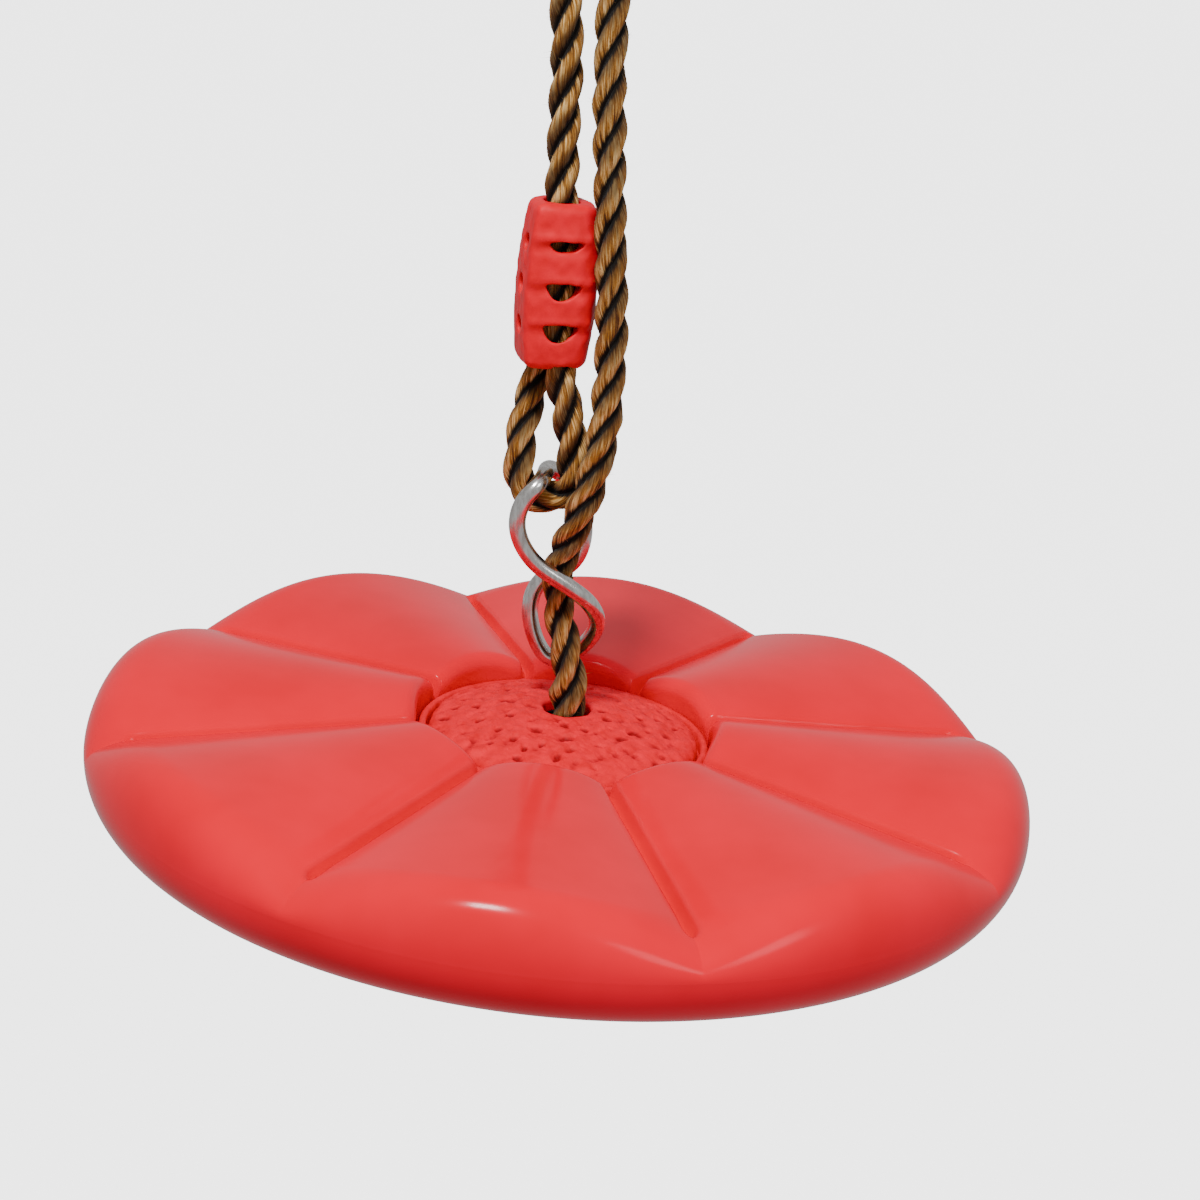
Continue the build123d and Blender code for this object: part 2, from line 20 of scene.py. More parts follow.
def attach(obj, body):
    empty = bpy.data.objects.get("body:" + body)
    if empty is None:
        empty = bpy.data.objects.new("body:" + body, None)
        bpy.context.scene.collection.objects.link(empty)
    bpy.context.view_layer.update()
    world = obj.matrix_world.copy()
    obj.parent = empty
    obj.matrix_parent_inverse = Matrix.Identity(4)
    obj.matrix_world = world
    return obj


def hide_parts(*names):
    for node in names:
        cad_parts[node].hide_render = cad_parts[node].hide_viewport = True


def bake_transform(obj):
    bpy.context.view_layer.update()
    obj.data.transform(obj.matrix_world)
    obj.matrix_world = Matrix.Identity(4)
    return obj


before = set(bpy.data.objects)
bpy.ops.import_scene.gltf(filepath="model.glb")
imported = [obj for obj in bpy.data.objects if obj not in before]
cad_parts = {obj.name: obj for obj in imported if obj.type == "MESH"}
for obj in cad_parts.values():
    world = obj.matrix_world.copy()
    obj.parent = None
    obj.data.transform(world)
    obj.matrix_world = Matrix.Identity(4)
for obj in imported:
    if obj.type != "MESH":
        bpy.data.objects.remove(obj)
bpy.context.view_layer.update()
LOG = logging.getLogger("disc_swing")
MM = 0.001
Point = tuple[float, float, float]


class Body(Enum):
    """The frame's moving bodies."""

    HANGER = "hanger"
    GATE = "gate"
    TOP_ROPE = "top_rope"
    ADJUSTER = "adjuster"
    RING = "ring"
    LOWER_ROPE = "lower_rope"
    WASHER = "washer"
    BUSH = "bush"
    SEAT = "seat"


class Slot(Enum):
    """The frame's material slots."""

    SEAT = "seat_plastic"
    DOME = "dome_plastic"
    CLAMP = "clamp_plastic"
    BUSH = "bush_plastic"
    ROPE = "rope_fibre"
    SEALED_END = "sealed_end"
    STEEL = "galvanised_steel"
    SPRING = "spring_steel"


# ---------------------------------------------------------------- small tools


def linear(code: str) -> tuple[float, float, float, float]:
    """Turn an sRGB hex colour into the linear colour that a shader socket takes.

    Args:
        code: Six hex digits, such as "E0101C".

    Returns:
        Linear red, green and blue, and an alpha of 1.
    """
    parts = [int(code[i : i + 2], 16) / 255 for i in (0, 2, 4)]
    made = [p / 12.92 if p <= 0.04045 else ((p + 0.055) / 1.055) ** 2.4 for p in parts]
    return (made[0], made[1], made[2], 1.0)


def add_node(
    tree: bpy.types.NodeTree, kind: str, inputs: dict | None = None, **settings: object
) -> bpy.types.Node:
    """Add one node to a tree.

    Args:
        tree: The material's or Geometry Nodes tree.
        kind: The node's bl_idname.
        inputs: A value or a linked socket for each input, by name or index.
        settings: The node's own settings.

    Returns:
        The new node.
    """
    node = tree.nodes.new(kind)
    for name, value in settings.items():
        setattr(node, name, value)
    for key, value in (inputs or {}).items():
        if isinstance(value, bpy.types.NodeSocket):
            tree.links.new(value, node.inputs[key])
        else:
            node.inputs[key].default_value = value
    return node


def make_object(name: str, mesh: bpy.types.Mesh, material: bpy.types.Material) -> bpy.types.Object:
    """Link a mesh to the scene as a smooth-shaded object with one material.

    Args:
        name: The piece's name.
        mesh: Its mesh, already in the frame's own place.
        material: Its finish.

    Returns:
        The new object.
    """
    mesh.name = name
    mesh.materials.clear()
    mesh.materials.append(material)
    mesh.shade_smooth()
    mesh.set_sharp_from_angle(angle=math.radians(55))
    piece = bpy.data.objects.new(name, mesh)
    bpy.context.scene.collection.objects.link(piece)
    return piece


def mesh_from(
    points: np.ndarray, faces: list[list[int]], marks: dict[str, np.ndarray] | None = None
) -> bpy.types.Mesh:
    """Make a mesh from points in millimetres, with its normals pointing outwards.

    Args:
        points: One row of x, y and z for each vertex.
        faces: The vertex numbers of each face.
        marks: One value for each vertex, under each name that a finish reads.

    Returns:
        The mesh, in metres.
    """
    mesh = bpy.data.meshes.new("made")
    mesh.from_pydata((points * MM).tolist(), [], faces)
    for name, values in (marks or {}).items():
        layer = mesh.attributes.new(name, "FLOAT", "POINT")
        layer.data.foreach_set("value", values.astype(np.float32))
    form = bmesh.new()
    form.from_mesh(mesh)
    bmesh.ops.remove_doubles(form, verts=form.verts, dist=1e-6)
    bmesh.ops.recalc_face_normals(form, faces=form.faces)
    form.to_mesh(mesh)
    form.free()
    return mesh


def ring_faces(rows: int, columns: int, closed_rows: bool = False) -> list[list[int]]:
    """Quads between rows of points that each close on themselves.

    Args:
        rows: The number of rows.
        columns: The number of points in a row.
        closed_rows: Whether the last row joins the first.

    Returns:
        The vertex numbers of each quad.
    """
    faces = []
    for row in range(rows if closed_rows else rows - 1):
        following = (row + 1) % rows
        for column in range(columns):
            beside = (column + 1) % columns
            faces.append(
                [
                    row * columns + column,
                    row * columns + beside,
                    following * columns + beside,
                    following * columns + column,
                ]
            )
    return faces


def ripples(points: np.ndarray, seed: int, shortest: float, longest: float, waves: int) -> np.ndarray:
    """A smooth uneven field over points, the sum of seeded plane waves.

    Args:
        points: Rows of x, y and z in millimetres.
        seed: The fixed seed.
        shortest: The shortest wavelength in millimetres.
        longest: The longest.
        waves: How many waves are summed.

    Returns:
        One value for each point, about -2 to 2.
    """
    dice = np.random.default_rng(seed)
    ways = dice.normal(size=(waves, 3))
    ways /= np.linalg.norm(ways, axis=1)[:, None]
    lengths = dice.uniform(shortest, longest, waves)
    phases = dice.uniform(0, 2 * np.pi, waves)
    angles = points @ ways.T * (2 * np.pi / lengths) + phases
    return np.sin(angles).sum(axis=1) * math.sqrt(2 / waves)


def level_rings(outline: list[tuple[float, float]], count: int) -> np.ndarray:
    """Turn an outline round the upright axis.

    Args:
        outline: A distance from the axis and a height for each ring, in millimetres.
        count: The number of points in a ring.

    Returns:
        Rows of x, y and z, ring after ring.
    """
    around = np.linspace(0, 2 * np.pi, count + 1)[:-1]
    rings = [ring_at(around, reach, height) for reach, height in outline]
    return np.concatenate(rings)


def ring_at(
    around: np.ndarray, reach: np.ndarray | float, height: np.ndarray | float
) -> np.ndarray:
    """One ring of points round the upright axis.

    Args:
        around: The points' angles in radians.
        reach: Their distance from the axis.
        height: Their height.

    Returns:
        One row of x, y and z for each angle.
    """
    zero = np.zeros_like(around)
    return np.stack([reach * np.cos(around), reach * np.sin(around), zero + height], axis=1)


def new_tree(name: str, sizes: tuple[str, ...]) -> tuple[bpy.types.NodeTree, dict]:
    """Start a Geometry Nodes tree with named inputs.

    Args:
        name: The tree's name.
        sizes: The names of its number inputs.

    Returns:
        The tree, and its input sockets.
    """
    tree = bpy.data.node_groups.new(name, "GeometryNodeTree")
    kinds = {"Geometry": "Geometry", **{size: "Float" for size in sizes}}
    kinds.update({"Sides": "Int", "Finish": "Material"})
    for label, kind in kinds.items():
        tree.interface.new_socket(label, in_out="INPUT", socket_type=f"NodeSocket{kind}")
    tree.interface.new_socket("Geometry", in_out="OUTPUT", socket_type="NodeSocketGeometry")
    return tree, add_node(tree, "NodeGroupInput").outputs


def end_tree(
    tree: bpy.types.NodeTree, geometry: bpy.types.NodeSocket, finish: bpy.types.NodeSocket
) -> None:
    """Make instances real, set the finish and hand the geometry out of a tree."""
    real = add_node(tree, "GeometryNodeRealizeInstances", {"Geometry": geometry}).outputs[0]
    dressed = add_node(
        tree, "GeometryNodeSetMaterial", {"Geometry": real, "Material": finish}
    ).outputs["Geometry"]
    add_node(tree, "NodeGroupOutput", {"Geometry": dressed})


def run_tree(
    name: str, line: np.ndarray, closed: bool, tree: bpy.types.NodeTree, values: dict[str, object]
) -> bpy.types.Object:
    """Run a Geometry Nodes tree on a line and keep the mesh that it makes.

    Args:
        name: The piece's name.
        line: Rows of x, y and z in metres.
        closed: Whether the line closes on itself.
        tree: The tree.
        values: A value for each of its named inputs. "swell" goes on the line's points.

    Returns:
        The piece as a plain mesh object.
    """
    mesh = bpy.data.meshes.new(name)
    edges = [(i, i + 1) for i in range(len(line) - 1)]
    if closed:
        edges.append((len(line) - 1, 0))
    mesh.from_pydata(line.tolist(), edges, [])
    if "swell" in values:
        layer = mesh.attributes.new("swell", "FLOAT", "POINT")
        layer.data.foreach_set("value", values["swell"].astype(np.float32))
    piece = bpy.data.objects.new(name, mesh)
    bpy.context.scene.collection.objects.link(piece)
    modifier = piece.modifiers.new("made_by", "NODES")
    modifier.node_group = tree
    for item in tree.interface.items_tree:
        if item.in_out == "INPUT" and item.name in values:
            modifier[item.identifier] = values[item.name]
    settle(piece)
    piece.data.shade_smooth()
    return piece


def dress(piece: bpy.types.Object, slot: Slot, *nodes: str) -> bpy.types.Object:
    """Hide the frame nodes that a piece replaces.

    Args:
        piece: The piece.
        slot: Not used.
        nodes: The frame's nodes that it stands for.

    Returns:
        The same piece.
    """
    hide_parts(*nodes)
    return piece


def settle(piece: bpy.types.Object) -> bpy.types.Object:
    """Apply a piece's modifiers, so that its mesh is final.

    Args:
        piece: The object with modifiers.

    Returns:
        The same object.
    """
    bpy.context.view_layer.update()
    shown = piece.evaluated_get(bpy.context.evaluated_depsgraph_get())
    mesh = bpy.data.meshes.new_from_object(shown)
    piece.modifiers.clear()
    piece.data = mesh
    mesh.name = piece.name
    return piece


# ---------------------------------------------------------------- finishes


class Finish:
    """A material under construction: its tree, its shader and the nodes that finishes share."""

    def __init__(self, name: str) -> None:
        """Start a material.

        Args:
            name: The material's name.
        """
        self.made = bpy.data.materials.new(name)
        self.made.use_nodes = True
        self.tree = self.made.node_tree
        self.shader = self.tree.nodes["Principled BSDF"]

    def place(self, stretch: Point | None = None) -> bpy.types.NodeSocket:
        """Read the object's own coordinates, scaled along each axis if wanted."""
        found = add_node(self.tree, "ShaderNodeTexCoord").outputs["Object"]
        return self.scaled(found, stretch) if stretch else found

    def scaled(self, vector: bpy.types.NodeSocket, stretch: Point) -> bpy.types.NodeSocket:
        """Scale a vector along each axis."""
        return add_node(
            self.tree, "ShaderNodeMapping", {"Vector": vector, "Scale": stretch}
        ).outputs["Vector"]

    def attribute(self, name: str, output: str = "Fac") -> bpy.types.NodeSocket:
        """Read one of the mesh's attributes."""
        return add_node(
            self.tree, "ShaderNodeAttribute", attribute_type="GEOMETRY", attribute_name=name
        ).outputs[output]

    def noise(
        self, vector: bpy.types.NodeSocket, size_mm: float, detail: float, rough: float
    ) -> bpy.types.NodeSocket:
        """Add a noise whose features are a real size."""
        return add_node(
            self.tree,
            "ShaderNodeTexNoise",
            {"Vector": vector, "Scale": 1 / (size_mm * MM), "Detail": detail, "Roughness": rough},
        ).outputs["Fac"]

    def ranged(
        self,
        value: bpy.types.NodeSocket,
        source: tuple[float, float],
        target: tuple[float, float] = (0.0, 1.0),
        shape: str = "LINEAR",
    ) -> bpy.types.NodeSocket:
        """Map a value from one range to another, held at the ends."""
        return add_node(
            self.tree,
            "ShaderNodeMapRange",
            {
                "Value": value,
                "From Min": source[0],
                "From Max": source[1],
                "To Min": target[0],
                "To Max": target[1],
            },
            interpolation_type=shape,
        ).outputs["Result"]

    def ramp(self, value: bpy.types.NodeSocket, stops: dict[float, str]) -> bpy.types.NodeSocket:
        """Add a colour ramp with a colour at each place."""
        node = add_node(self.tree, "ShaderNodeValToRGB", {"Fac": value})
        elements = node.color_ramp.elements
        places = sorted(stops)
        elements[0].position, elements[1].position = places[0], places[-1]
        for middle in places[1:-1]:
            elements.new(middle)
        for element, stop in zip(elements, places):
            element.color = linear(stops[stop])
        return node.outputs["Color"]

    def mixed(
        self, share: bpy.types.NodeSocket, low: str | bpy.types.NodeSocket, high: str | bpy.types.NodeSocket
    ) -> bpy.types.NodeSocket:
        """Mix two colours, each a hex code or a socket."""
        ends = {
            key: linear(end) if isinstance(end, str) else end for key, end in ((6, low), (7, high))
        }
        return add_node(
            self.tree, "ShaderNodeMix", {0: share, **ends}, data_type="RGBA"
        ).outputs[2]

    def relief(self, height: bpy.types.NodeSocket, rise_mm: float, strength: float = 1.0) -> None:
        """Raise fine relief on the surface."""
        normal = add_node(
            self.tree,
            "ShaderNodeBump",
            {"Height": height, "Strength": strength, "Distance": rise_mm * MM},
        ).outputs["Normal"]
        self.tree.links.new(normal, self.shader.inputs["Normal"])

    def feed(self, **inputs: object) -> bpy.types.Material:
        """Set or link the shader's own sockets, and hand over the material.

        Args:
            inputs: A value or socket for each shader input, with _ for each space in its name.

        Returns:
            The finished material.
        """
        for name, value in inputs.items():
            socket = self.shader.inputs[name.replace("_", " ")]
            if isinstance(value, bpy.types.NodeSocket):
                self.tree.links.new(value, socket)
            else:
                socket.default_value = value
        return self.made


@dataclass(frozen=True)
class MouldedPlastic:
    """Injection or blow-moulded polyethylene, dyed right through.

    The polished mould leaves a clean gloss over a soft, slightly cloudy red, and a matt mould leaves a
    dull, faintly grainy one. Where pits are moulded in, a darker colour is painted into them as painted
    shade.
    """

    name: str
    colour: str
    shade: str
    roughness: float
    roughness_spread: float
    cloud_mm: float
    grain_mm: float
    grain_height_mm: float
    gloss: float = 0.3
    pit_painted_shade: str = ""
    pit_depths: tuple[float, float] = (-0.85, -0.25)
    cloud_range: tuple[float, float] = (0.3, 0.7)

    def material(self) -> bpy.types.Material:
        """Build the material.

        Returns:
            The finished material.
        """
        finish = Finish(self.name)
        place = finish.place()
        cloud = finish.noise(place, self.cloud_mm, 3.0, 0.55)
        low, high = self.cloud_range
        colour = finish.ramp(cloud, {low: self.shade, high: self.colour})
        # Painted shade: the deepest parts of the relief, the pits, are mixed towards a darker red.
        if self.pit_painted_shade:
            shown = finish.ranged(finish.attribute("relief"), self.pit_depths)
            colour = finish.mixed(shown, self.pit_painted_shade, colour)
        spread = (self.roughness - self.roughness_spread, self.roughness + self.roughness_spread)
        finish.relief(finish.noise(place, self.grain_mm, 4.0, 0.6), self.grain_height_mm)
        return finish.feed(
            Base_Color=colour,
            Roughness=finish.ranged(cloud, self.cloud_range, spread),
            IOR=1.5,
            Coat_Roughness=0.08,
            Specular_IOR_Level=self.gloss,
        )


@dataclass(frozen=True)
class HempFibre:
    """Three-strand synthetic hemp: spun brown staple fibre.

    Golden fibre ends catch the light on each strand's back, and the lay between strands is painted nearly
    black as painted shade. The fibres run along the rope, as they do in a laid rope. Each strand also
    carries a painted shade: one flank, where it dives under its neighbour, is painted dark brown.
    """

    name: str = "laid_synthetic_hemp"
    light: str = "F6CC86"
    middle: str = "A87028"
    dark: str = "4A260A"
    # The next two colours are painted shade: dark brown for one flank of each strand, and near black for
    # the lay between strands.
    painted_flank_shade: str = "2E1605"
    painted_gap_shade: str = "0C0501"
    fibre_mm: float = 0.32
    bundle: float = 4.0
    stretch: float = 0.07
    # Where the painted shade falls on a flank and in the lay, and how strong it is on a flank.
    painted_flank_range: tuple[float, float] = (0.5, 1.4)
    painted_flank_share: float = 0.82
    painted_gap_range: tuple[float, float] = (0.87, 1.05)

    def material(self) -> bpy.types.Material:
        """Build the material from the rope's own attributes.

        Returns:
            The finished material.
        """
        finish = Finish(self.name)
        lay = finish.attribute("fibre", "Vector")
        depth = finish.attribute("height")
        drawn = finish.scaled(lay, (1.0, 1.0, self.stretch))
        fine = finish.noise(drawn, self.fibre_mm, 4.0, 0.65)
        bundle = finish.noise(drawn, self.bundle * self.fibre_mm, 2.0, 0.5)

        def sum_of(value: object, factor: float, more: object) -> bpy.types.NodeSocket:
            """Multiply a value by a factor and add another."""
            return add_node(
                finish.tree, "ShaderNodeMath", {0: value, 1: factor, 2: more}, operation="MULTIPLY_ADD"
            ).outputs["Value"]

        both = sum_of(fine, 1.0, bundle)
        colour = finish.ramp(
            sum_of(both, 0.5, 0.0), {0.38: self.dark, 0.5: self.middle, 0.61: self.light}
        )
        # Painted shade: one flank of each strand, picked by its place across the strand and broken up by
        # noise, is mixed towards dark brown.
        uneven = sum_of(bundle, 1.6, finish.attribute("across"))
        painted_flank_mask = finish.ranged(uneven, self.painted_flank_range, (0.0, self.painted_flank_share), "SMOOTHSTEP")
        # Painted shade: where the strands sink into the lay between them, the colour is mixed towards near
        # black.
        shown = finish.ranged(sum_of(both, 0.16, depth), self.painted_gap_range, shape="SMOOTHSTEP")
        finish.relief(both, 0.6, 0.9)
        return finish.feed(
            Base_Color=finish.mixed(shown, self.painted_gap_shade, finish.mixed(painted_flank_mask, colour, self.painted_flank_shade)),
            Roughness=0.72,
            Sheen_Weight=0.05,
            Sheen_Roughness=0.5,
            Specular_IOR_Level=0.15,
        )


@dataclass(frozen=True)
class ZincSteel:
    """Mild steel wire, bright zinc plated: a grey-white metal with drawn lines along it."""

    name: str
    bright: str
    dull: str
    roughness: float
    streak_mm: float
    height_mm: float = 0.01
    drawing: Point = (1.0, 1.0, 0.25)

    def material(self) -> bpy.types.Material:
        """Build the material.

        Returns:
            The finished material.
        """
        finish = Finish(self.name)
        mottle = finish.noise(finish.place(self.drawing), self.streak_mm, 5.0, 0.6)
        finish.relief(mottle, self.height_mm, 0.6)
        worn = (self.roughness + 0.1, self.roughness - 0.05)
        return finish.feed(
            Base_Color=finish.ramp(mottle, {0.35: self.dull, 0.65: self.bright}),
            Roughness=finish.ranged(mottle, (0.3, 0.7), worn),
            Metallic=1.0,
        )


@dataclass(frozen=True)
class StudioPaper:
    """Seamless white background paper, dead matt, with the faint tooth of its fibre."""

    name: str = "background_paper"
    colour: str = "FFFFFF"
    tooth_mm: float = 2.0
    glow: float = 3.0

    def material(self) -> bpy.types.Material:
        """Build the material.

        Returns:
            The finished material.
        """
        finish = Finish(self.name)
        finish.relief(finish.noise(finish.place(), self.tooth_mm, 2.0, 0.5), 0.2, 0.05)
        return finish.feed(
            Base_Color=linear(self.colour),
            Emission_Color=linear(self.colour),
            Emission_Strength=self.glow,
            Roughness=0.95,
            Specular_IOR_Level=0.1,
        )


SEAT_RED = MouldedPlastic(
    "polished_mould_polyethylene", "EE0028", "E00020", 0.17, 0.02, 40.0, 1.4, 0.004, 0.12
)
# The dome's last colour is a painted shade for its pits.
DOME_RED = MouldedPlastic(
    "textured_mould_polyethylene", "EC0A28", "D20018", 0.6, 0.06, 3.5, 0.5, 0.09, 0.12, "90000C"
)
CLAMP_RED = MouldedPlastic(
    "satin_mould_polypropylene", "E80424", "D40018", 0.46, 0.06, 5.0, 0.7, 0.03, 0.15
)
BUSH_BLACK = MouldedPlastic(
    "moulded_black_nylon", "1C1C1D", "111112", 0.45, 0.05, 4.0, 0.6, 0.02
)
SEALED_BROWN = MouldedPlastic(
    "melted_rope_end", "3A220F", "1E1007", 0.4, 0.1, 1.5, 0.6, 0.15
)
WIRE_ZINC = ZincSteel("zinc_plated_wire", "E4E2DF", "B9B4B0", 0.2, 1.2)
SPRING_BRIGHT = ZincSteel("bright_spring_wire", "A5A5A8", "7E7E82", 0.28, 0.6)


# ---------------------------------------------------------------- rope


@dataclass
class RopeRoute:
    """The rope's centreline in millimetres, from its cut end in the clamp to the stopper knot."""

    points: list[Point] = field(
        default_factory=lambda: [
            (-10.8, 6.6, -170.0),
            (-12.1, 6.6, -186.5),
            (-17.4, 3.9, -203.5),
            (-20.8, 0.4, -216.5),
            (-20.6, 0.0, -232.8),
            (-5.0, 0.0, -232.8),
            (-4.9, -0.4, -217.5),
            (-6.6, -2.6, -204.5),
            (-10.1, -3.6, -186.5),
            (-9.3, -3.6, -169.5),
            (-7.8, 0.2, -153.5),
            (-7.7, 1.0, -135.5),
            (-6.2, 0.4, -111.5),
            (-5.9, 0.0, -91.5),
            (-8.8, 0.0, -71.5),
            (-8.8, 0.0, -50.7),
            (8.8, 0.0, -50.7),
            (8.8, 0.0, -71.5),
            (6.1, -1.6, -95.5),
            (5.7, -4.4, -123.5),
            (5.9, -6.4, -148.5),
            (6.5, -6.6, -174.5),
            (5.8, -6.6, -199.5),
            (2.8, -9.4, -219.5),
            (-4.0, -9.0, -238.5),
            (-9.4, -0.4, -253.0),
            (-9.6, 0.8, -266.5),
            (-7.2, -2.0, -279.5),
            (-6.0, -1.6, -291.5),
            (-7.6, 0.0, -305.5),
            (-9.2, 0.0, -319.0),
        ]
    )
    join_height: float = -256.0
    tail: list[Point] = field(
        default_factory=lambda: [(-5.0, 0.5, -323.4), (1.2, 2.2, -325.2), (6.6, 5.6, -326.2)]
    )

    def centreline(self, points: list[Point], steps: int = 24, closed: bool = False) -> np.ndarray:
        """Read a smooth line from the NURBS spline that has these control points.

        Args:
            points: The control points in millimetres.
            steps: The spline's resolution between control points.
            closed: Whether the spline closes on itself.

        Returns:
            Rows of x, y and z in metres along the line.
        """
        curve = bpy.data.curves.new("route", "CURVE")
        curve.dimensions = "3D"
        spline = curve.splines.new("NURBS")
        spline.points.add(len(points) - 1)
        for target, point in zip(spline.points, points):
            target.co = (point[0] * MM, point[1] * MM, point[2] * MM, 1.0)
        spline.order_u = 3
        spline.use_endpoint_u = not closed
        spline.use_cyclic_u = closed
        spline.resolution_u = steps
        holder = bpy.data.objects.new("route", curve)
        mesh = bpy.data.meshes.new_from_object(holder)
        line = np.array([v.co for v in mesh.vertices], float)
        bpy.data.objects.remove(holder)
        bpy.data.curves.remove(curve)
        bpy.data.meshes.remove(mesh)
        return line

    def halves(self) -> tuple[np.ndarray, np.ndarray]:
        """Split the centreline where the lower rope begins.

        Returns:
            The upper line and the lower line, in metres, sharing one point.
        """
        line = self.centreline(self.points)
        middle = len(line) // 2
        below = [i for i in range(middle, len(line)) if line[i, 2] < self.join_height * MM]
        return line[: below[0] + 1], line[below[0] :]


@dataclass
class LaidRope:
    """Three strands laid up right-handed round a centreline, with loose fibre ends."""

    diameter: float = 9.6
    lay: float = 35.0
    strand_share: float = 0.53
    sides: int = 66
    yarn_ridge: float = 0.7
    unevenness: float = 0.9
    yarns_per_m: float = 750.0
    swells_per_m: float = 160.0
    hairs_per_mm2: float = 0.16
    hair_length: float = 2.4
    hair_radius: float = 0.045

    def tree(self) -> bpy.types.NodeTree:
        """Build the Geometry Nodes tree that lays the strands along a line.

        Returns:
            The tree, with named inputs for its sizes.
        """
        tree, given = new_tree(
            "lay_three_strands",
            (
                "Radius",
                "Lay",
                "Phase",
                "Strand Radius",
                "Hair Density",
                "Hair Length",
                "Hair Radius",
                "Yarn Ridge",
                "Unevenness",
            ),
        )

        def math_node(kind: str, *values: object) -> bpy.types.NodeSocket:
            """Add a Math node and return its result."""
            return add_node(tree, "ShaderNodeMath", dict(enumerate(values)), operation=kind).outputs[0]

        def vector_node(kind: str, inputs: dict) -> bpy.types.NodeSocket:
            """Add a Vector Math node and return its result."""
            return add_node(tree, "ShaderNodeVectorMath", inputs, operation=kind).outputs["Vector"]

        def marked(geometry: object, name: str, value: object, kind: str) -> bpy.types.NodeSocket:
            """Store a value on the rope's points for its finish to read."""
            return add_node(
                tree,
                "GeometryNodeStoreNamedAttribute",
                {"Geometry": geometry, "Name": name, "Value": value},
                data_type=kind,
                domain="POINT",
            ).outputs["Geometry"]

        def uneven(vector: object, scale: float, size: object) -> bpy.types.NodeSocket:
            """A noise about zero, as large as a size."""
            found = add_node(
                tree, "ShaderNodeTexNoise", {"Vector": vector, "Scale": scale, "Detail": 1.0}
            ).outputs[0]
            return math_node("MULTIPLY", math_node("SUBTRACT", found, 0.5), size)

        line = add_node(tree, "GeometryNodeMeshToCurve", {"Mesh": given["Geometry"]}).outputs["Curve"]
        along = add_node(tree, "GeometryNodeSplineParameter").outputs["Length"]
        turn = math_node(
            "ADD",
            math_node("MULTIPLY", math_node("DIVIDE", along, given["Lay"]), 2 * math.pi),
            given["Phase"],
        )
        tilted = add_node(
            tree, "GeometryNodeSetCurveTilt", {"Curve": line, "Tilt": turn}
        ).outputs["Curve"]
        kept_line = add_node(tree, "GeometryNodeCaptureAttribute", {"Geometry": tilted})
        kept_line.capture_items.new("FLOAT", "along")
        kept_line.capture_items.new("FLOAT", "turn")
        tree.links.new(along, kept_line.inputs["along"])
        tree.links.new(turn, kept_line.inputs["turn"])

        # one strand's round back, repeated three times round the profile
        circle = add_node(
            tree,
            "GeometryNodeCurvePrimitiveCircle",
            {"Resolution": given["Sides"], "Radius": 1.0},
        ).outputs["Curve"]
        around = add_node(tree, "GeometryNodeSplineParameter").outputs["Factor"]
        angle = math_node("MULTIPLY", around, 2 * math.pi)
        strand = math_node("MULTIPLY", around, 3.0)
        local = math_node(
            "MULTIPLY", math_node("SUBTRACT", math_node("FRACT", strand), 0.5), 2 * math.pi / 3
        )
        reach = math_node("SUBTRACT", given["Radius"], given["Strand Radius"])
        side = math_node("MULTIPLY", reach, math_node("SINE", local))
        depth = math_node(
            "SQRT",
            math_node(
                "SUBTRACT",
                math_node("MULTIPLY", given["Strand Radius"], given["Strand Radius"]),
                math_node("MULTIPLY", side, side),
            ),
        )
        radius = math_node(
            "ADD", math_node("MULTIPLY", reach, math_node("COSINE", local)), depth
        )
        spot = add_node(
            tree,
            "ShaderNodeCombineXYZ",
            {
                "X": math_node("MULTIPLY", radius, math_node("COSINE", angle)),
                "Y": math_node("MULTIPLY", radius, math_node("SINE", angle)),
            },
        ).outputs["Vector"]
        shaped = add_node(
            tree, "GeometryNodeSetPosition", {"Geometry": circle, "Position": spot}
        ).outputs["Geometry"]
        kept_ring = add_node(tree, "GeometryNodeCaptureAttribute", {"Geometry": circle})
        for name in ("angle", "radius", "strand", "across"):
            kept_ring.capture_items.new("FLOAT", name)
        tree.links.new(angle, kept_ring.inputs["angle"])
        tree.links.new(radius, kept_ring.inputs["radius"])
        tree.links.new(math_node("FLOOR", strand), kept_ring.inputs["strand"])
        tree.links.new(math_node("DIVIDE", local, math.pi / 3), kept_ring.inputs["across"])
        tree.links.new(kept_ring.outputs["Geometry"], shaped.node.inputs["Geometry"])

        opened = add_node(
            tree, "GeometryNodeInputNamedAttribute", {"Name": "swell"}, data_type="FLOAT"
        ).outputs["Attribute"]
        swept = add_node(
            tree,
            "GeometryNodeCurveToMesh",
            {
                "Curve": kept_line.outputs["Geometry"],
                "Profile Curve": shaped,
                "Scale": opened,
                "Fill Caps": True,
            },
        ).outputs["Mesh"]
        spin = math_node("ADD", kept_ring.outputs["angle"], kept_line.outputs["turn"])
        fibre = add_node(
            tree,
            "ShaderNodeCombineXYZ",
            {
                "X": math_node("MULTIPLY", given["Radius"], math_node("COSINE", spin)),
                "Y": math_node("MULTIPLY", given["Radius"], math_node("SINE", spin)),
                "Z": math_node(
                    "ADD",
                    kept_line.outputs["along"],
                    math_node("MULTIPLY", kept_ring.outputs["strand"], 0.37),
                ),
            },
        ).outputs["Vector"]
        # The height and across values feed the rope finish's painted shade, in the lay between strands and
        # on one flank of each strand.
        height = math_node("DIVIDE", kept_ring.outputs["radius"], given["Radius"])
        rope = marked(swept, "fibre", fibre, "FLOAT_VECTOR")
        rope = marked(rope, "height", height, "FLOAT")
        rope = marked(rope, "across", kept_ring.outputs["across"], "FLOAT")

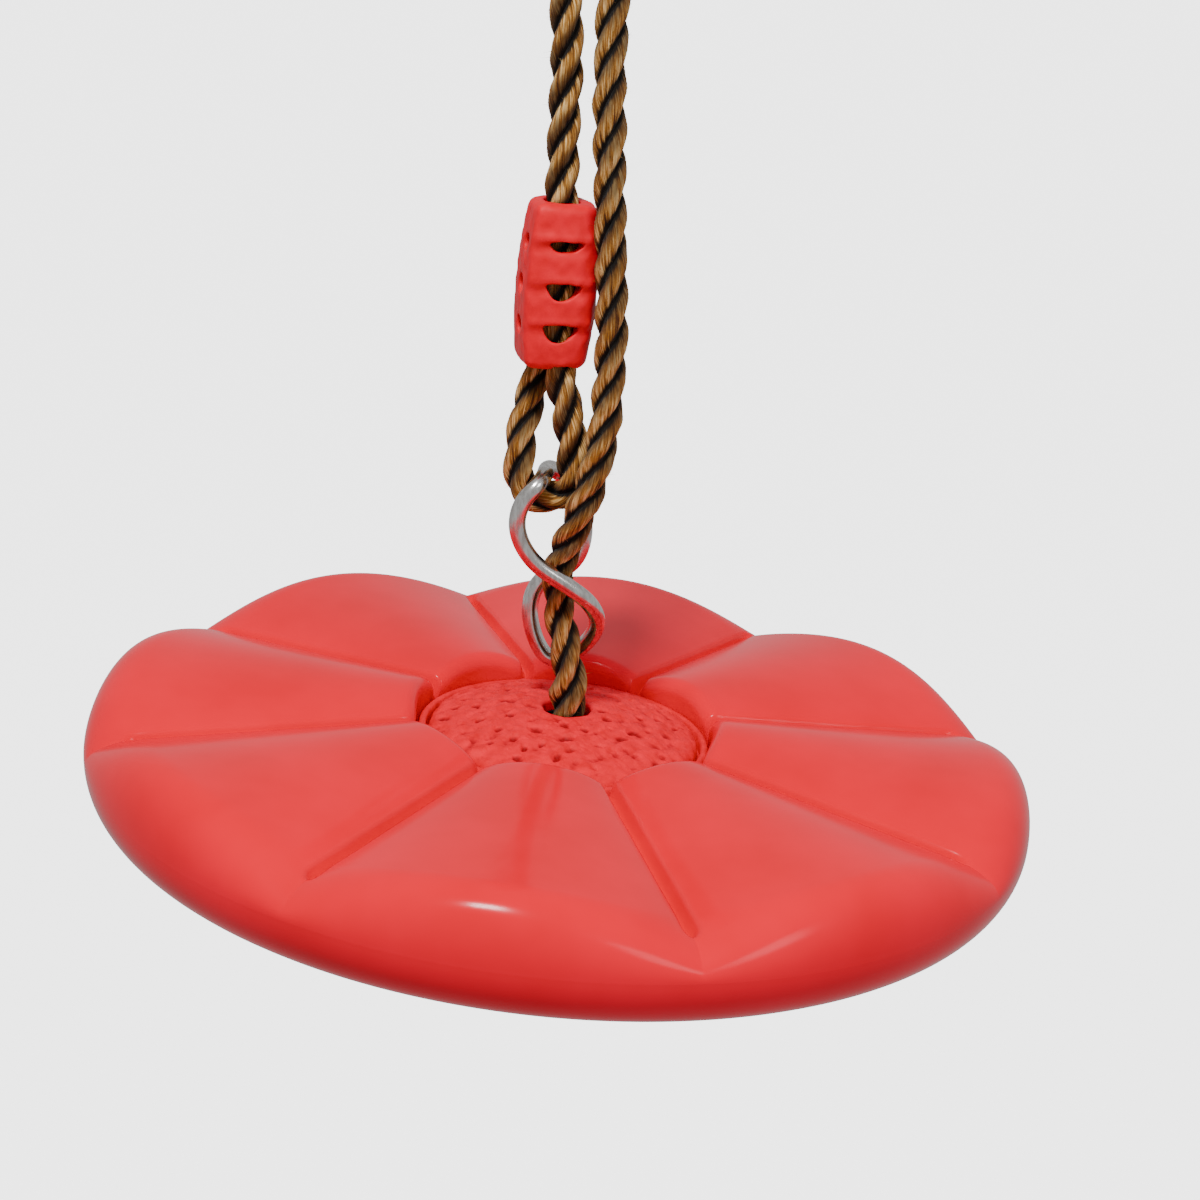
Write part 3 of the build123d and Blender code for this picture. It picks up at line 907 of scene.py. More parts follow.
        # yarns stand up as ridges along the rope, and no strand is quite even
        drawn = vector_node("MULTIPLY", {0: fibre, 1: (1.0, 1.0, 0.12)})
        lift = math_node(
            "ADD",
            uneven(drawn, self.yarns_per_m, given["Yarn Ridge"]),
            uneven(fibre, self.swells_per_m, given["Unevenness"]),
        )
        normal = add_node(tree, "GeometryNodeInputNormal").outputs["Normal"]
        pushed = vector_node("SCALE", {0: normal, "Scale": lift})
        rope = add_node(
            tree, "GeometryNodeSetPosition", {"Geometry": rope, "Offset": pushed}
        ).outputs["Geometry"]

        # loose fibre ends: thin three-sided spikes that lean along the surface
        seeds = add_node(
            tree,
            "GeometryNodeDistributePointsOnFaces",
            {"Mesh": rope, "Density": given["Hair Density"], "Seed": 7},
        )
        scatter = add_node(
            tree,
            "FunctionNodeRandomValue",
            {"Min": (-1.0, -1.0, -1.0), "Max": (1.0, 1.0, 1.0), "Seed": 11},
            data_type="FLOAT_VECTOR",
        ).outputs["Value"]
        lean = vector_node("ADD", {0: seeds.outputs["Normal"], 1: scatter})
        aim = add_node(
            tree, "FunctionNodeAlignRotationToVector", {"Vector": lean}, axis="Z"
        ).outputs["Rotation"]
        spike = add_node(
            tree,
            "GeometryNodeMeshCone",
            {
                "Vertices": 3,
                "Radius Top": 0.0,
                "Radius Bottom": given["Hair Radius"],
                "Depth": given["Hair Length"],
            },
            fill_type="NONE",
        ).outputs["Mesh"]
        grown = add_node(
            tree,
            "FunctionNodeRandomValue",
            {2: 0.35, 3: 1.0, "Seed": 5},
            data_type="FLOAT",
        ).outputs[1]
        hairs = add_node(
            tree,
            "GeometryNodeInstanceOnPoints",
            {"Points": seeds.outputs["Points"], "Instance": spike, "Rotation": aim, "Scale": grown},
        ).outputs["Instances"]
        joined = add_node(tree, "GeometryNodeJoinGeometry")
        tree.links.new(hairs, joined.inputs["Geometry"])
        tree.links.new(rope, joined.inputs["Geometry"])
        end_tree(tree, joined.outputs["Geometry"], given["Finish"])
        return tree

    def build(
        self,
        name: str,
        line: np.ndarray,
        material: bpy.types.Material,
        phase: float = 0.0,
        lay: float | None = None,
        closed: bool = False,
        hairs: float = 1.0,
        swell: np.ndarray | None = None,
    ) -> bpy.types.Object:
        """Lay the strands along a line.

        Args:
            name: The piece's name.
            line: Rows of x, y and z in metres.
            material: The rope's finish.
            phase: The strands' turn at the line's start, in radians.
            lay: The length of one full turn in millimetres, where it differs.
            closed: Whether the line closes on itself.
            hairs: A share of the usual number of loose fibre ends.
            swell: The rope's thickness at each point of the line, as a share of its own.

        Returns:
            The rope as a plain mesh object.
        """
        tree = bpy.data.node_groups.get("lay_three_strands") or self.tree()
        values = {
            "Radius": self.diameter / 2 * MM,
            "Lay": (lay or self.lay) * MM,
            "Phase": phase,
            "Strand Radius": self.diameter / 2 * self.strand_share * MM,
            "Hair Density": self.hairs_per_mm2 * hairs / MM**2,
            "Hair Length": self.hair_length * MM,
            "Hair Radius": self.hair_radius * MM,
            "Yarn Ridge": self.yarn_ridge * MM,
            "Unevenness": self.unevenness * MM,
            "Sides": self.sides,
            "Finish": material,
            "swell": np.ones(len(line)) if swell is None else swell,
        }
        return run_tree(name, line, closed, tree, values)


@dataclass
class Rope:
    """The whole rope: the doubled upper part, the lower part, and its knot and tail."""

    route: RopeRoute = field(default_factory=RopeRoute)
    laid: LaidRope = field(default_factory=LaidRope)
    flare: float = 0.22
    flare_height: float = -293.5
    flare_reach: float = 6.5
    knot_middle: Point = (-9.9, 0.0, -324.3)
    knot_reach: float = 8.0
    knot_rise: float = 3.1

    def build(self, material: bpy.types.Material) -> list[bpy.types.Object]:
        """Make the rope's pieces.

        Args:
            material: The rope's finish.

        Returns:
            The rope's pieces.
        """
        upper_line, lower_line = self.route.halves()
        long = float(np.linalg.norm(np.diff(upper_line, axis=0), axis=1).sum())
        short = float(np.linalg.norm(np.diff(lower_line, axis=0), axis=1).sum())
        upper = self.laid.build("upper_rope", upper_line, material)
        phase = 2 * math.pi * long / (self.laid.lay * MM)
        above_dome = (lower_line[:, 2] / MM - self.flare_height) / self.flare_reach
        opened = 1 + self.flare * np.exp(-(above_dome**2))
        lower = self.laid.build("lower_rope_run", lower_line, material, phase, swell=opened)
        knot = self.knot(material)
        tail = self.tail(material)
        eye_to_throat = ("rope_eye", "rope_left_leg", "rope_bight", "rope_right_leg", "rope_throat")
        dress(upper, Slot.ROPE, *eye_to_throat)
        dress(lower, Slot.ROPE, "rope_lower")
        dress(knot, Slot.ROPE, "stopper_knot")
        dress(tail, Slot.ROPE, "rope_tail")
        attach(knot, Body.LOWER_ROPE.value)
        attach(tail, Body.LOWER_ROPE.value)
        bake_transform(upper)
        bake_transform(lower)
        for piece, line, length, ending in (
            (upper, upper_line, long, {"far_end": "object"}),
            (lower, lower_line, short, {"far_end": "knot", "with_pieces": [knot, tail]}),
        ):
            start, length = line[0].tolist(), round(length, 3)
        return [upper, lower, knot, tail]

    def knot(self, material: bpy.types.Material) -> bpy.types.Object:
        """Tie the stopper knot: three tucks of the rope drawn up tight.

        Args:
            material: The rope's finish.

        Returns:
            The knot.
        """
        turn = np.linspace(0, 2 * np.pi, 181)[:-1]
        flat = self.knot_reach / 3
        points = np.stack(
            [
                flat * (np.sin(turn) + 2 * np.sin(2 * turn)),
                flat * (np.cos(turn) - 2 * np.cos(2 * turn)),
                -self.knot_rise * np.sin(3 * turn),
            ],
            axis=1,
        )
        place = SeatPlace(origin=self.knot_middle)
        line = place.placed(points) * MM
        long = float(np.linalg.norm(np.diff(np.vstack([line, line[:1]]), axis=0), axis=1).sum()) / MM
        tight = LaidRope(diameter=8.8, sides=42)
        thirds = max(1, round(3 * long / tight.lay))
        return tight.build("knot_turns", line, material, lay=3 * long / thirds, closed=True, hairs=0.7)

    def tail(self, material: bpy.types.Material) -> bpy.types.Object:
        """Lead the rope's short tail out of the knot.

        Args:
            material: The rope's finish.

        Returns:
            The tail.
        """
        line = self.route.centreline(self.route.tail)
        return self.laid.build("knot_tail", line, material, phase=1.0, hairs=0.7)


# ---------------------------------------------------------------- seat


@dataclass
class SeatPlace:
    """Where the seat's own frame lies: its middle under the rope, a little out of level."""

    origin: Point = (-10.8, 0.0, -333.5)
    roll: float = 6.06

    def placed(self, points: np.ndarray) -> np.ndarray:
        """Move points from the seat's frame to the row frame.

        Args:
            points: Rows of x, y and z in millimetres in the seat's frame.

        Returns:
            The same points in the row frame, in millimetres.
        """
        lean = math.radians(self.roll)
        turn = np.array(
            [[math.cos(lean), 0, -math.sin(lean)], [0, 1, 0], [math.sin(lean), 0, math.cos(lean)]]
        )
        return points @ turn + np.array(self.origin)


@dataclass
class PetalSeat:
    """The seat's two shells: eight crowned petals above, a plain dish below."""

    place: SeatPlace = field(default_factory=SeatPlace)
    radius: float = 142.5
    height: float = 35.6
    petals: int = 8
    first_groove: float = 15.56
    parting: float = 16.9
    top_round: float = 13.7
    shoulder: float = 0.92
    scallop: float = 5.8
    foot_round: float = 15.3
    inner_radius: float = 45.0
    inner_round: float = 4.5
    inner_drop: float = 4.6
    wall_middle: float = 22.0
    outer_drop: float = 11.0
    groove_depth: float = 3.2
    groove_half_width: float = 2.4
    groove_stop: float = 13.0
    well_radius: float = 30.0
    well_height: float = 21.5
    ceiling: float = 3.0
    bush_hole: float = 8.5
    well_edge: float = 2.5
    side_steps: int = 36
    dish_steps: int = 256

    def azimuths(self) -> tuple[np.ndarray, np.ndarray]:
        """The angles round the seat, closer together beside the grooves.

        Returns:
            Angles round the seat, and angles from each petal's middle line, in radians.
        """
        half = math.pi / self.petals
        steps = np.arange(self.side_steps) / self.side_steps
        right = half * (1 - (1 - steps) ** 2.0)
        one = np.concatenate([-right[::-1][:-1], right, [half]])
        whole, local = [], []
        for number in range(self.petals):
            middle = math.radians(self.first_groove) + (2 * number + 1) * half
            whole.append(middle + one)
            local.append(one)
        return np.concatenate(whole), np.concatenate(local)

    def top(self, reach: np.ndarray, local: np.ndarray) -> np.ndarray:
        """The height of the petals' upper face.

        Args:
            reach: Distance from the seat's axis in millimetres.
            local: Angle from the petal's middle line in radians.

        Returns:
            Heights above the seat's underside in millimetres.
        """
        half = math.pi / self.petals
        share = (np.sin(local) / math.sin(half)) ** 2
        out = np.clip((reach - self.inner_radius) / (self.radius - self.inner_radius), 0, 1)
        valley = self.inner_drop + (self.outer_drop - self.inner_drop) * out
        off = reach * np.sin(half - np.abs(local))
        bed = np.clip(1 - (off / self.groove_half_width) ** 2, 0, 1) ** 1.5
        fade = np.clip((self.radius - self.groove_stop + 3 - reach) / 5, 0, 1)
        fade = fade * fade * (3 - 2 * fade)
        roll = 0.5 * np.clip(1 - off / 9, 0, 1) ** 2
        return self.height - valley * share - (self.groove_depth * bed + roll) * fade

    def petal_shell(self, material: bpy.types.Material) -> bpy.types.Object:
        """Make the upper shell.

        Args:
            material: The seat's finish.

        Returns:
            The upper shell.
        """
        whole, local = self.azimuths()
        half = math.pi / self.petals
        share = (np.sin(local) / math.sin(half)) ** 2
        start = self.radius - self.top_round - self.scallop * share
        inner = self.inner_radius + 2.2 * np.abs(local / half) ** 6
        rows = []

        def row(reach: np.ndarray, height: np.ndarray | float) -> None:
            """Keep one ring of points."""
            rows.append(ring_at(whole, reach, height))

        row(inner, self.parting)
        row(inner, self.wall_middle)
        edge = self.top(inner + self.inner_round, local) - self.inner_round
        row(inner, edge - 0.5)
        for angle in np.linspace(0, math.pi / 2, 10):
            reach = inner + self.inner_round * (1 - math.cos(angle))
            drop = self.inner_round * (1 - math.sin(angle))
            row(reach, self.top(reach, local) - drop)
        first = inner + self.inner_round
        last = self.radius - self.top_round - self.scallop - 4
        for step in np.linspace(0, 1, 34)[1:]:
            reach = first + (last - first) * step
            row(reach, self.top(reach, local))
        for step in np.linspace(0, 1, 12)[1:-1]:
            reach = last + (start - last) * step
            row(reach, self.top(reach, local))
        for angle in np.linspace(0, math.pi / 2, 34):
            out, up = math.sin(angle) ** self.shoulder, math.cos(angle) ** self.shoulder
            reach = start + (self.radius - start) * out
            row(reach, self.parting + (self.top(reach, local) - self.parting) * up)
        points = self.place.placed(np.concatenate(rows))
        mesh = mesh_from(points, ring_faces(len(rows), len(whole), closed_rows=True))
        piece = dress(make_object("petal_top", mesh, material), Slot.SEAT, "seat_petal_shell")
        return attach(piece, Body.SEAT.value)

    def base_shell(self, material: bpy.types.Material) -> bpy.types.Object:
        """Make the lower shell with its well.

        Args:
            material: The seat's finish.

        Returns:
            The lower shell.
        """
        edge = self.well_edge
        outline = []
        for angle in np.linspace(math.pi / 2, 0, 20):
            reach = self.radius - self.foot_round + self.foot_round * math.sin(angle)
            outline.append((reach, self.parting * (1 - math.cos(angle))))
        outline += [(self.well_radius + 40, 0.0), (self.well_radius + edge, 0.0)]
        for angle in np.linspace(0, math.pi / 2, 7)[1:]:
            reach = self.well_radius + edge * (1 - math.sin(angle))
            outline.append((reach, edge * (1 - math.cos(angle))))
        for angle in np.linspace(0, math.pi / 2, 7):
            reach = self.well_radius - edge * (1 - math.cos(angle))
            outline.append((reach, self.well_height - edge * (1 - math.sin(angle))))
        outline += [
            (self.bush_hole, self.well_height),
            (self.bush_hole, self.well_height + self.ceiling),
            (self.well_radius + self.ceiling, self.well_height + self.ceiling),
            (self.well_radius + self.ceiling, self.parting),
        ]
        points = self.place.placed(level_rings(outline, self.dish_steps))
        mesh = mesh_from(points, ring_faces(len(outline), self.dish_steps, closed_rows=True))
        piece = dress(make_object("seat_dish", mesh, material), Slot.SEAT, "seat_base_shell")
        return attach(piece, Body.SEAT.value)


@dataclass
class CentreDome:
    """The rough, pitted dome in the seat's middle, with a thin ledge round its foot."""

    place: SeatPlace = field(default_factory=SeatPlace)
    radius: float = 40.8
    height: float = 35.2
    edge_height: float = 28.0
    edge_round: float = 2.6
    foot: float = 21.6
    hole: float = 7.2
    hole_foot: float = 31.3
    ledge_inner: float = 41.9
    ledge_outer: float = 44.0
    ledge_height: float = 27.2
    pits: int = 74
    pit_depth: float = 1.15
    pit_spacing: float = 5.2
    pit_crowding: float = 0.02
    pit_field: tuple[float, float] = (10.0, 38.0)
    pit_sizes: tuple[float, float] = (1.3, 2.3)
    pit_shares: tuple[float, float] = (0.45, 1.0)
    pit_lip: float = 0.12
    lump_height: float = 0.24
    hole_round: float = 1.2
    sleeve: float = 8.2
    ceiling_height: float = 25.2
    wall: float = 3.0
    ledge_thickness: float = 1.5
    ledge_bevel: float = 0.6
    around: int = 420
    seed: int = 21

    def surface(self, reach: np.ndarray) -> np.ndarray:
        """The plain dome's height at a distance from its axis."""
        rise = self.height - self.edge_height
        sphere = (self.radius**2 + rise**2) / (2 * rise)
        return self.height - sphere + np.sqrt(sphere**2 - reach**2)

    def relief(self, points: np.ndarray) -> np.ndarray:
        """Lumps and pits over the dome.

        Args:
            points: Rows of x, y and z in millimetres.

        Returns:
            How far each point is raised, in millimetres.
        """
        dice = np.random.default_rng(self.seed)
        raised = self.lump_height * ripples(points, self.seed, 3.0, 8.0, 40)
        raised += 0.35 * self.lump_height * ripples(points, self.seed + 1, 1.2, 2.4, 50)
        kept: list[tuple[float, float]] = []
        while len(kept) < self.pits:
            reach = math.sqrt(dice.uniform(self.pit_field[0] ** 2, self.pit_field[1] ** 2))
            angle = dice.uniform(0, 2 * math.pi)
            spot = (reach * math.cos(angle), reach * math.sin(angle))
            clear = all(math.dist(spot, other) > self.pit_spacing for other in kept)
            if clear or dice.random() < self.pit_crowding:
                kept.append(spot)
                size = dice.uniform(*self.pit_sizes)
                deep = self.pit_depth * dice.uniform(*self.pit_shares)
                turn = dice.uniform(0, math.pi)
                dx, dy = points[:, 0] - spot[0], points[:, 1] - spot[1]
                a = (dx * math.cos(turn) + dy * math.sin(turn)) / (size * 1.2)
                b = (-dx * math.sin(turn) + dy * math.cos(turn)) / (size * 0.85)
                away = np.sqrt(a * a + b * b)
                bowl = np.clip(1 - away**2, 0, 1) ** 0.8
                lip = np.exp(-(((away - 1.25) / 0.35) ** 2))
                raised += -deep * bowl + self.pit_lip * lip
        return raised

    def build(self, material: bpy.types.Material) -> bpy.types.Object:
        """Make the dome.

        Args:
            material: The dome's finish.

        Returns:
            The dome.
        """
        around = np.linspace(0, 2 * np.pi, self.around + 1)[:-1]
        rows: list[np.ndarray] = []

        def row(reach: np.ndarray | float, height: np.ndarray | float) -> None:
            """Keep one ring of points."""
            rows.append(ring_at(around, reach, height))

        ragged = self.hole + 0.16 * np.sin(3 * around + 1) + 0.12 * np.sin(7 * around)
        ragged += 0.08 * np.sin(12 * around + 2)
        edge, bevel = self.hole_round, self.ledge_bevel
        row(self.sleeve, self.ceiling_height)
        row(self.sleeve, self.hole_foot)
        row(ragged, self.hole_foot)
        row(ragged, self.surface(ragged) - edge)
        for angle in np.linspace(0, math.pi / 2, 5):
            reach = ragged + edge * (1 - math.cos(angle))
            row(reach, self.surface(reach) - edge * (1 - math.sin(angle)))
        first = len(rows)
        last = self.radius - self.edge_round
        for step in np.linspace(0, 1, 104)[1:]:
            reach = ragged + edge + (last - ragged - edge) * step
            row(reach, self.surface(reach))
        for angle in np.linspace(0, math.pi / 2, 12)[1:]:
            reach = last + self.edge_round * math.sin(angle)
            row(reach, self.surface(reach) - self.edge_round * (1 - math.cos(angle)))
        raised = len(rows)
        row(self.radius, self.foot + self.ledge_thickness)
        row(self.ledge_inner, self.foot + self.ledge_thickness)
        row(self.ledge_inner, self.ledge_height - bevel)
        row(self.ledge_inner + bevel, self.ledge_height)
        row(self.ledge_outer - bevel, self.ledge_height)
        row(self.ledge_outer, self.ledge_height - bevel)
        row(self.ledge_outer, self.foot)
        row(self.radius - self.wall, self.foot)
        row(self.radius - self.wall, self.ceiling_height)
        points = np.concatenate(rows)
        count = len(around)
        field_rows = slice(first * count, raised * count)
        relief = self.relief(points[field_rows])
        steps = np.repeat(np.arange(raised - first), count)
        fade = np.clip((steps + 1) / 5, 0, 1) * np.clip((raised - first - steps) / 6, 0, 1)
        points[field_rows, 2] += relief * fade
        # The relief is kept on the mesh, where the dome finish paints its pits darker as painted shade.
        marks = np.zeros(len(points))
        marks[field_rows] = relief * fade
        mesh = mesh_from(
            self.place.placed(points),
            ring_faces(len(rows), count, closed_rows=True),
            {"relief": marks},
        )
        piece = dress(make_object("pitted_dome", mesh, material), Slot.DOME, "centre_dome")
        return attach(piece, Body.SEAT.value)


# ---------------------------------------------------------------- adjuster


@dataclass
class RopeClamp:
    """The soft-edged sleeve that grips the rope's two parts above the eye."""

    foot: Point = (-11.6, 1.5, -192.5)
    length: float = 47.2
    lean: float = 5.4
    turn: float = 12.0
    foot_size: tuple[float, float] = (19.0, 22.0)
    belly_size: tuple[float, float] = (22.4, 23.4)
    top_size: tuple[float, float] = (18.4, 18.4)
    end_round: float = 2.6
    window_width: float = 10.8
    window_heights: tuple[float, ...] = (11.4, 23.2, 35.0)
    window_tall: tuple[float, ...] = (4.6, 4.4, 2.8)
    cutter_ends: tuple[float, float] = (3.0, 20.0)
    window_rise: float = 1.6
    window_crown: float = 0.35
    window_shift: float = 0.1
    side_hole: float = 2.9
    side_hole_place: tuple[float, float] = (-3.4, 0.4)
    side_hole_loss: float = 0.25
    body_sides: int = 96
    roughness_height: float = 0.07
    voxel: float = 0.42
    bore: float = 5.3

    def matrix(self) -> Matrix:
        """The sleeve's own frame in the row frame, in metres."""
        lean, turn = math.radians(self.lean), math.radians(self.turn)
        x = Vector((math.cos(lean), 0, -math.sin(lean)))
        z = Vector((math.sin(lean), 0, math.cos(lean)))
        y = Vector((0, 1, 0))
        across = x * math.cos(turn) + y * math.sin(turn)
        back = z.cross(across)
        made = Matrix((across, back, z)).transposed().to_4x4()
        made.translation = Vector(self.foot) * MM
        return made

    def size_at(self, height: np.ndarray) -> tuple[np.ndarray, np.ndarray]:
        """Half the sleeve's width and depth at a height, swelling smoothly to its belly."""
        share = np.clip(height / self.length, 0, 1)
        made = []
        for foot, belly, top in zip(self.foot_size, self.belly_size, self.top_size):
            a, b, c = foot, 4 * belly - 3 * foot - top, 2 * (foot + top - 2 * belly)
            made.append((a + b * share + c * share**2) / 2)
        return made[0], made[1]

    def body(self) -> bpy.types.Object:
        """Make the solid sleeve before it is cut.

        Returns:
            The sleeve, in its own frame.
        """
        count = self.body_sides
        around = np.linspace(0, 2 * np.pi, count + 1)[:-1]
        rows = []
        low = [
            (self.end_round * (1 - math.sin(angle)), self.end_round * (1 - math.cos(angle)))
            for angle in np.linspace(math.pi / 2, 0, 7)
        ]
        middle = [(h, 0.0) for h in np.linspace(self.end_round, self.length - self.end_round, 40)[1:-1]]
        high = [(self.length - h, i) for h, i in low[::-1]]
        for height, inset in low + middle + high:
            half_width, half_depth = self.size_at(np.array(height))
            corner = np.clip(-np.cos(around), 0, 1) * np.clip(-np.sin(around), 0, 1) * 2
            power = 2 / (3.2 + 3.6 * corner)
            x = np.sign(np.cos(around)) * np.abs(np.cos(around)) ** power * (half_width - inset)
            y = np.sign(np.sin(around)) * np.abs(np.sin(around)) ** power * (half_depth - inset)
            front = np.clip(-np.sin(around), 0, 1) ** 2
            step = 0.0
            for window in self.window_heights:
                off = height - window - self.window_rise
                step += 0.5 * math.exp(-((off - 1.0) ** 2) / 1.4)
                step -= 0.7 * math.exp(-((off + 2.0) ** 2) / 2.6)
            rows.append(np.stack([x, y - front * step, np.full_like(x, height)], axis=1))
        points = np.concatenate(rows)
        faces = ring_faces(len(rows), count)
        faces.append(list(range(count))[::-1])
        faces.append([(len(rows) - 1) * count + i for i in range(count)])
        mesh = mesh_from(points, faces)
        piece = bpy.data.objects.new("sleeve", mesh)
        bpy.context.scene.collection.objects.link(piece)
        return piece

    def prism(
        self, outline: list[tuple[float, float]], side: Vector, up: Vector, way: Vector
    ) -> bpy.types.Object:
        """Make a cutter by pushing an outline along one direction.

        Args:
            outline: Points across and up, in millimetres.
            side: The direction across.
            up: The direction up.
            way: The direction in which it is pushed.

        Returns:
            The cutter.
        """
        count = len(outline)
        points = [
            side * a + up * b + way * end for end in self.cutter_ends for a, b in outline
        ]
        faces = [list(range(count))[::-1], list(range(count, 2 * count))]
        faces += [[i, (i + 1) % count, count + (i + 1) % count, count + i] for i in range(count)]
        mesh = mesh_from(np.array([tuple(p) for p in points]), faces)
        piece = bpy.data.objects.new("cutter", mesh)
        bpy.context.scene.collection.objects.link(piece)
        return piece

    def cutters(self, lines: list[np.ndarray]) -> list[bpy.types.Object]:
        """Make the window, slot and bore cutters.

        Args:
            lines: The rope's lines through the sleeve, in metres in the row frame.

        Returns:
            The cutters, in the sleeve's own frame.
        """
        made = []
        x, y, z = Vector((1, 0, 0)), Vector((0, 1, 0)), Vector((0, 0, 1))
        for number, (height, tall) in enumerate(zip(self.window_heights, self.window_tall)):
            half = self.window_width / 2
            outline = []
            for step in np.linspace(-1, 1, 17):
                crown = self.window_crown * (1 - step * step)
                outline.append((half * step + self.window_shift, height + self.window_rise + crown))
            for step in np.linspace(1, -1, 17)[1:-1]:
                sag = tall * (1 - abs(step) ** 2.4) ** 0.8 * (1 - 0.25 * step)
                outline.append((half * step + self.window_shift, height + self.window_rise - sag))
            made.append(self.prism(outline, x, z, -y))
            wide, lift = self.side_hole, height + self.side_hole_place[1]
            high = wide - self.side_hole_loss * number
            oval = [
                (wide * math.cos(a) + self.side_hole_place[0], lift + high * math.sin(a))
                for a in np.linspace(0, 2 * np.pi, 25)[:-1]
            ]
            made.append(self.prism(oval, y, z, -x))
        inverse = self.matrix().inverted()
        for line in lines:
            local = [inverse @ Vector(p) for p in line]
            curve = bpy.data.curves.new("bore", "CURVE")
            curve.dimensions = "3D"
            spline = curve.splines.new("POLY")
            spline.points.add(len(local) - 1)
            for target, point in zip(spline.points, local):
                target.co = (*point, 1.0)
            curve.bevel_depth = self.bore * MM
            curve.bevel_resolution = 8
            curve.use_fill_caps = True
            holder = bpy.data.objects.new("bore", curve)
            mesh = bpy.data.meshes.new_from_object(holder)
            bpy.data.objects.remove(holder)
            piece = bpy.data.objects.new("cutter", mesh)
            bpy.context.scene.collection.objects.link(piece)
            made.append(piece)
        return made

    def build(self, route: RopeRoute, material: bpy.types.Material) -> bpy.types.Object:
        """Make the sleeve.

        Args:
            route: The rope's route, which the bore follows.
            material: The sleeve's finish.

        Returns:
            The sleeve.
        """
        line = route.centreline(route.points)
        low, high = (self.foot[2] - 6) * MM, (self.foot[2] + self.length + 6) * MM
        inside = (line[:, 2] > low) & (line[:, 2] < high)
        breaks = np.flatnonzero(np.diff(inside.astype(int)))
        spans = []
        for first, last in zip([0, *(breaks + 1)], [*(breaks + 1), len(line)]):
            run = line[first:last]
            if inside[first] and run[:, 0].max() < 0.0:
                spans.append(run[::6])
        piece = self.body()
        for cutter in self.cutters(spans):
            cut = piece.modifiers.new("cut", "BOOLEAN")
            cut.operation, cut.solver, cut.object = "DIFFERENCE", "EXACT", cutter
            settle(piece)
            bpy.data.objects.remove(cutter)
        soft = piece.modifiers.new("voxels", "REMESH")
        soft.mode, soft.voxel_size = "VOXEL", self.voxel * MM
        smooth = piece.modifiers.new("soften", "SMOOTH")
        smooth.factor, smooth.iterations = 0.5, 5
        settle(piece)
        mesh = piece.data
        co = np.zeros(len(mesh.vertices) * 3)
        mesh.vertices.foreach_get("co", co)
        points = co.reshape(-1, 3) / MM
        normals = np.zeros(len(mesh.vertices) * 3)
        mesh.vertices.foreach_get("normal", normals)
        rough = self.roughness_height * ripples(points, 3, 2.5, 7.0, 40)
        points += normals.reshape(-1, 3) * rough[:, None]
        mesh.vertices.foreach_set("co", (points * MM).ravel())
        mesh.transform(self.matrix())
        bpy.data.objects.remove(piece)
        made = dress(make_object("grip_sleeve", mesh, material), Slot.CLAMP, "rope_clamp")
        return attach(made, Body.ADJUSTER.value)


@dataclass
class AdjusterRing:
    """The figure-eight wire ring: over the eye, down the front, across, and up the back."""

    wire: float = 5.0
    sides: int = 28
    points: list[Point] = field(
        default_factory=lambda: [
            (-13.2, -8.6, -224.8),
            (-20.2, -10.6, -231.5),
            (-21.6, -9.6, -240.5),
            (-16.8, -9.4, -250.0),
            (-7.2, -8.2, -256.9),
            (0.6, -6.4, -263.5),
            (3.0, 1.0, -273.0),
            (-2.8, 7.4, -282.9),
            (-12.2, 8.4, -287.5),
            (-17.2, 9.0, -279.5),
            (-18.8, 9.6, -268.5),
            (-14.4, 10.2, -259.9),
            (-4.8, 10.4, -257.3),
            (-0.8, 10.2, -246.5),
            (-3.6, 10.4, -232.5),
            (-12.4, 8.6, -224.8),
        ]
    )

    def tree(self) -> bpy.types.NodeTree:
        """Build the Geometry Nodes tree that draws round wire along a closed line.

        Returns:
            The tree, with named inputs for its sizes.
        """
        tree, given = new_tree("round_wire", ("Wire Radius",))
        line = add_node(tree, "GeometryNodeMeshToCurve", {"Mesh": given["Geometry"]}).outputs["Curve"]
        ring = add_node(
            tree,
            "GeometryNodeCurvePrimitiveCircle",
            {"Resolution": given["Sides"], "Radius": given["Wire Radius"]},
        ).outputs["Curve"]
        swept = add_node(
            tree, "GeometryNodeCurveToMesh", {"Curve": line, "Profile Curve": ring}
        ).outputs["Mesh"]
        end_tree(tree, swept, given["Finish"])
        return tree

    def build(self, route: RopeRoute, material: bpy.types.Material) -> bpy.types.Object:
        """Make the ring.

        Args:
            route: Reads a smooth line from the ring's points.
            material: The wire's finish.

        Returns:
            The ring.
        """
        line = route.centreline(self.points, steps=12, closed=True)
        values = {"Wire Radius": self.wire / 2 * MM, "Sides": self.sides, "Finish": material}
        piece = run_tree("figure_eight_ring", line, True, self.tree(), values)
        dress(piece, Slot.STEEL, "adjuster_ring")
        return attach(piece, Body.RING.value)


# ---------------------------------------------------------------- studio


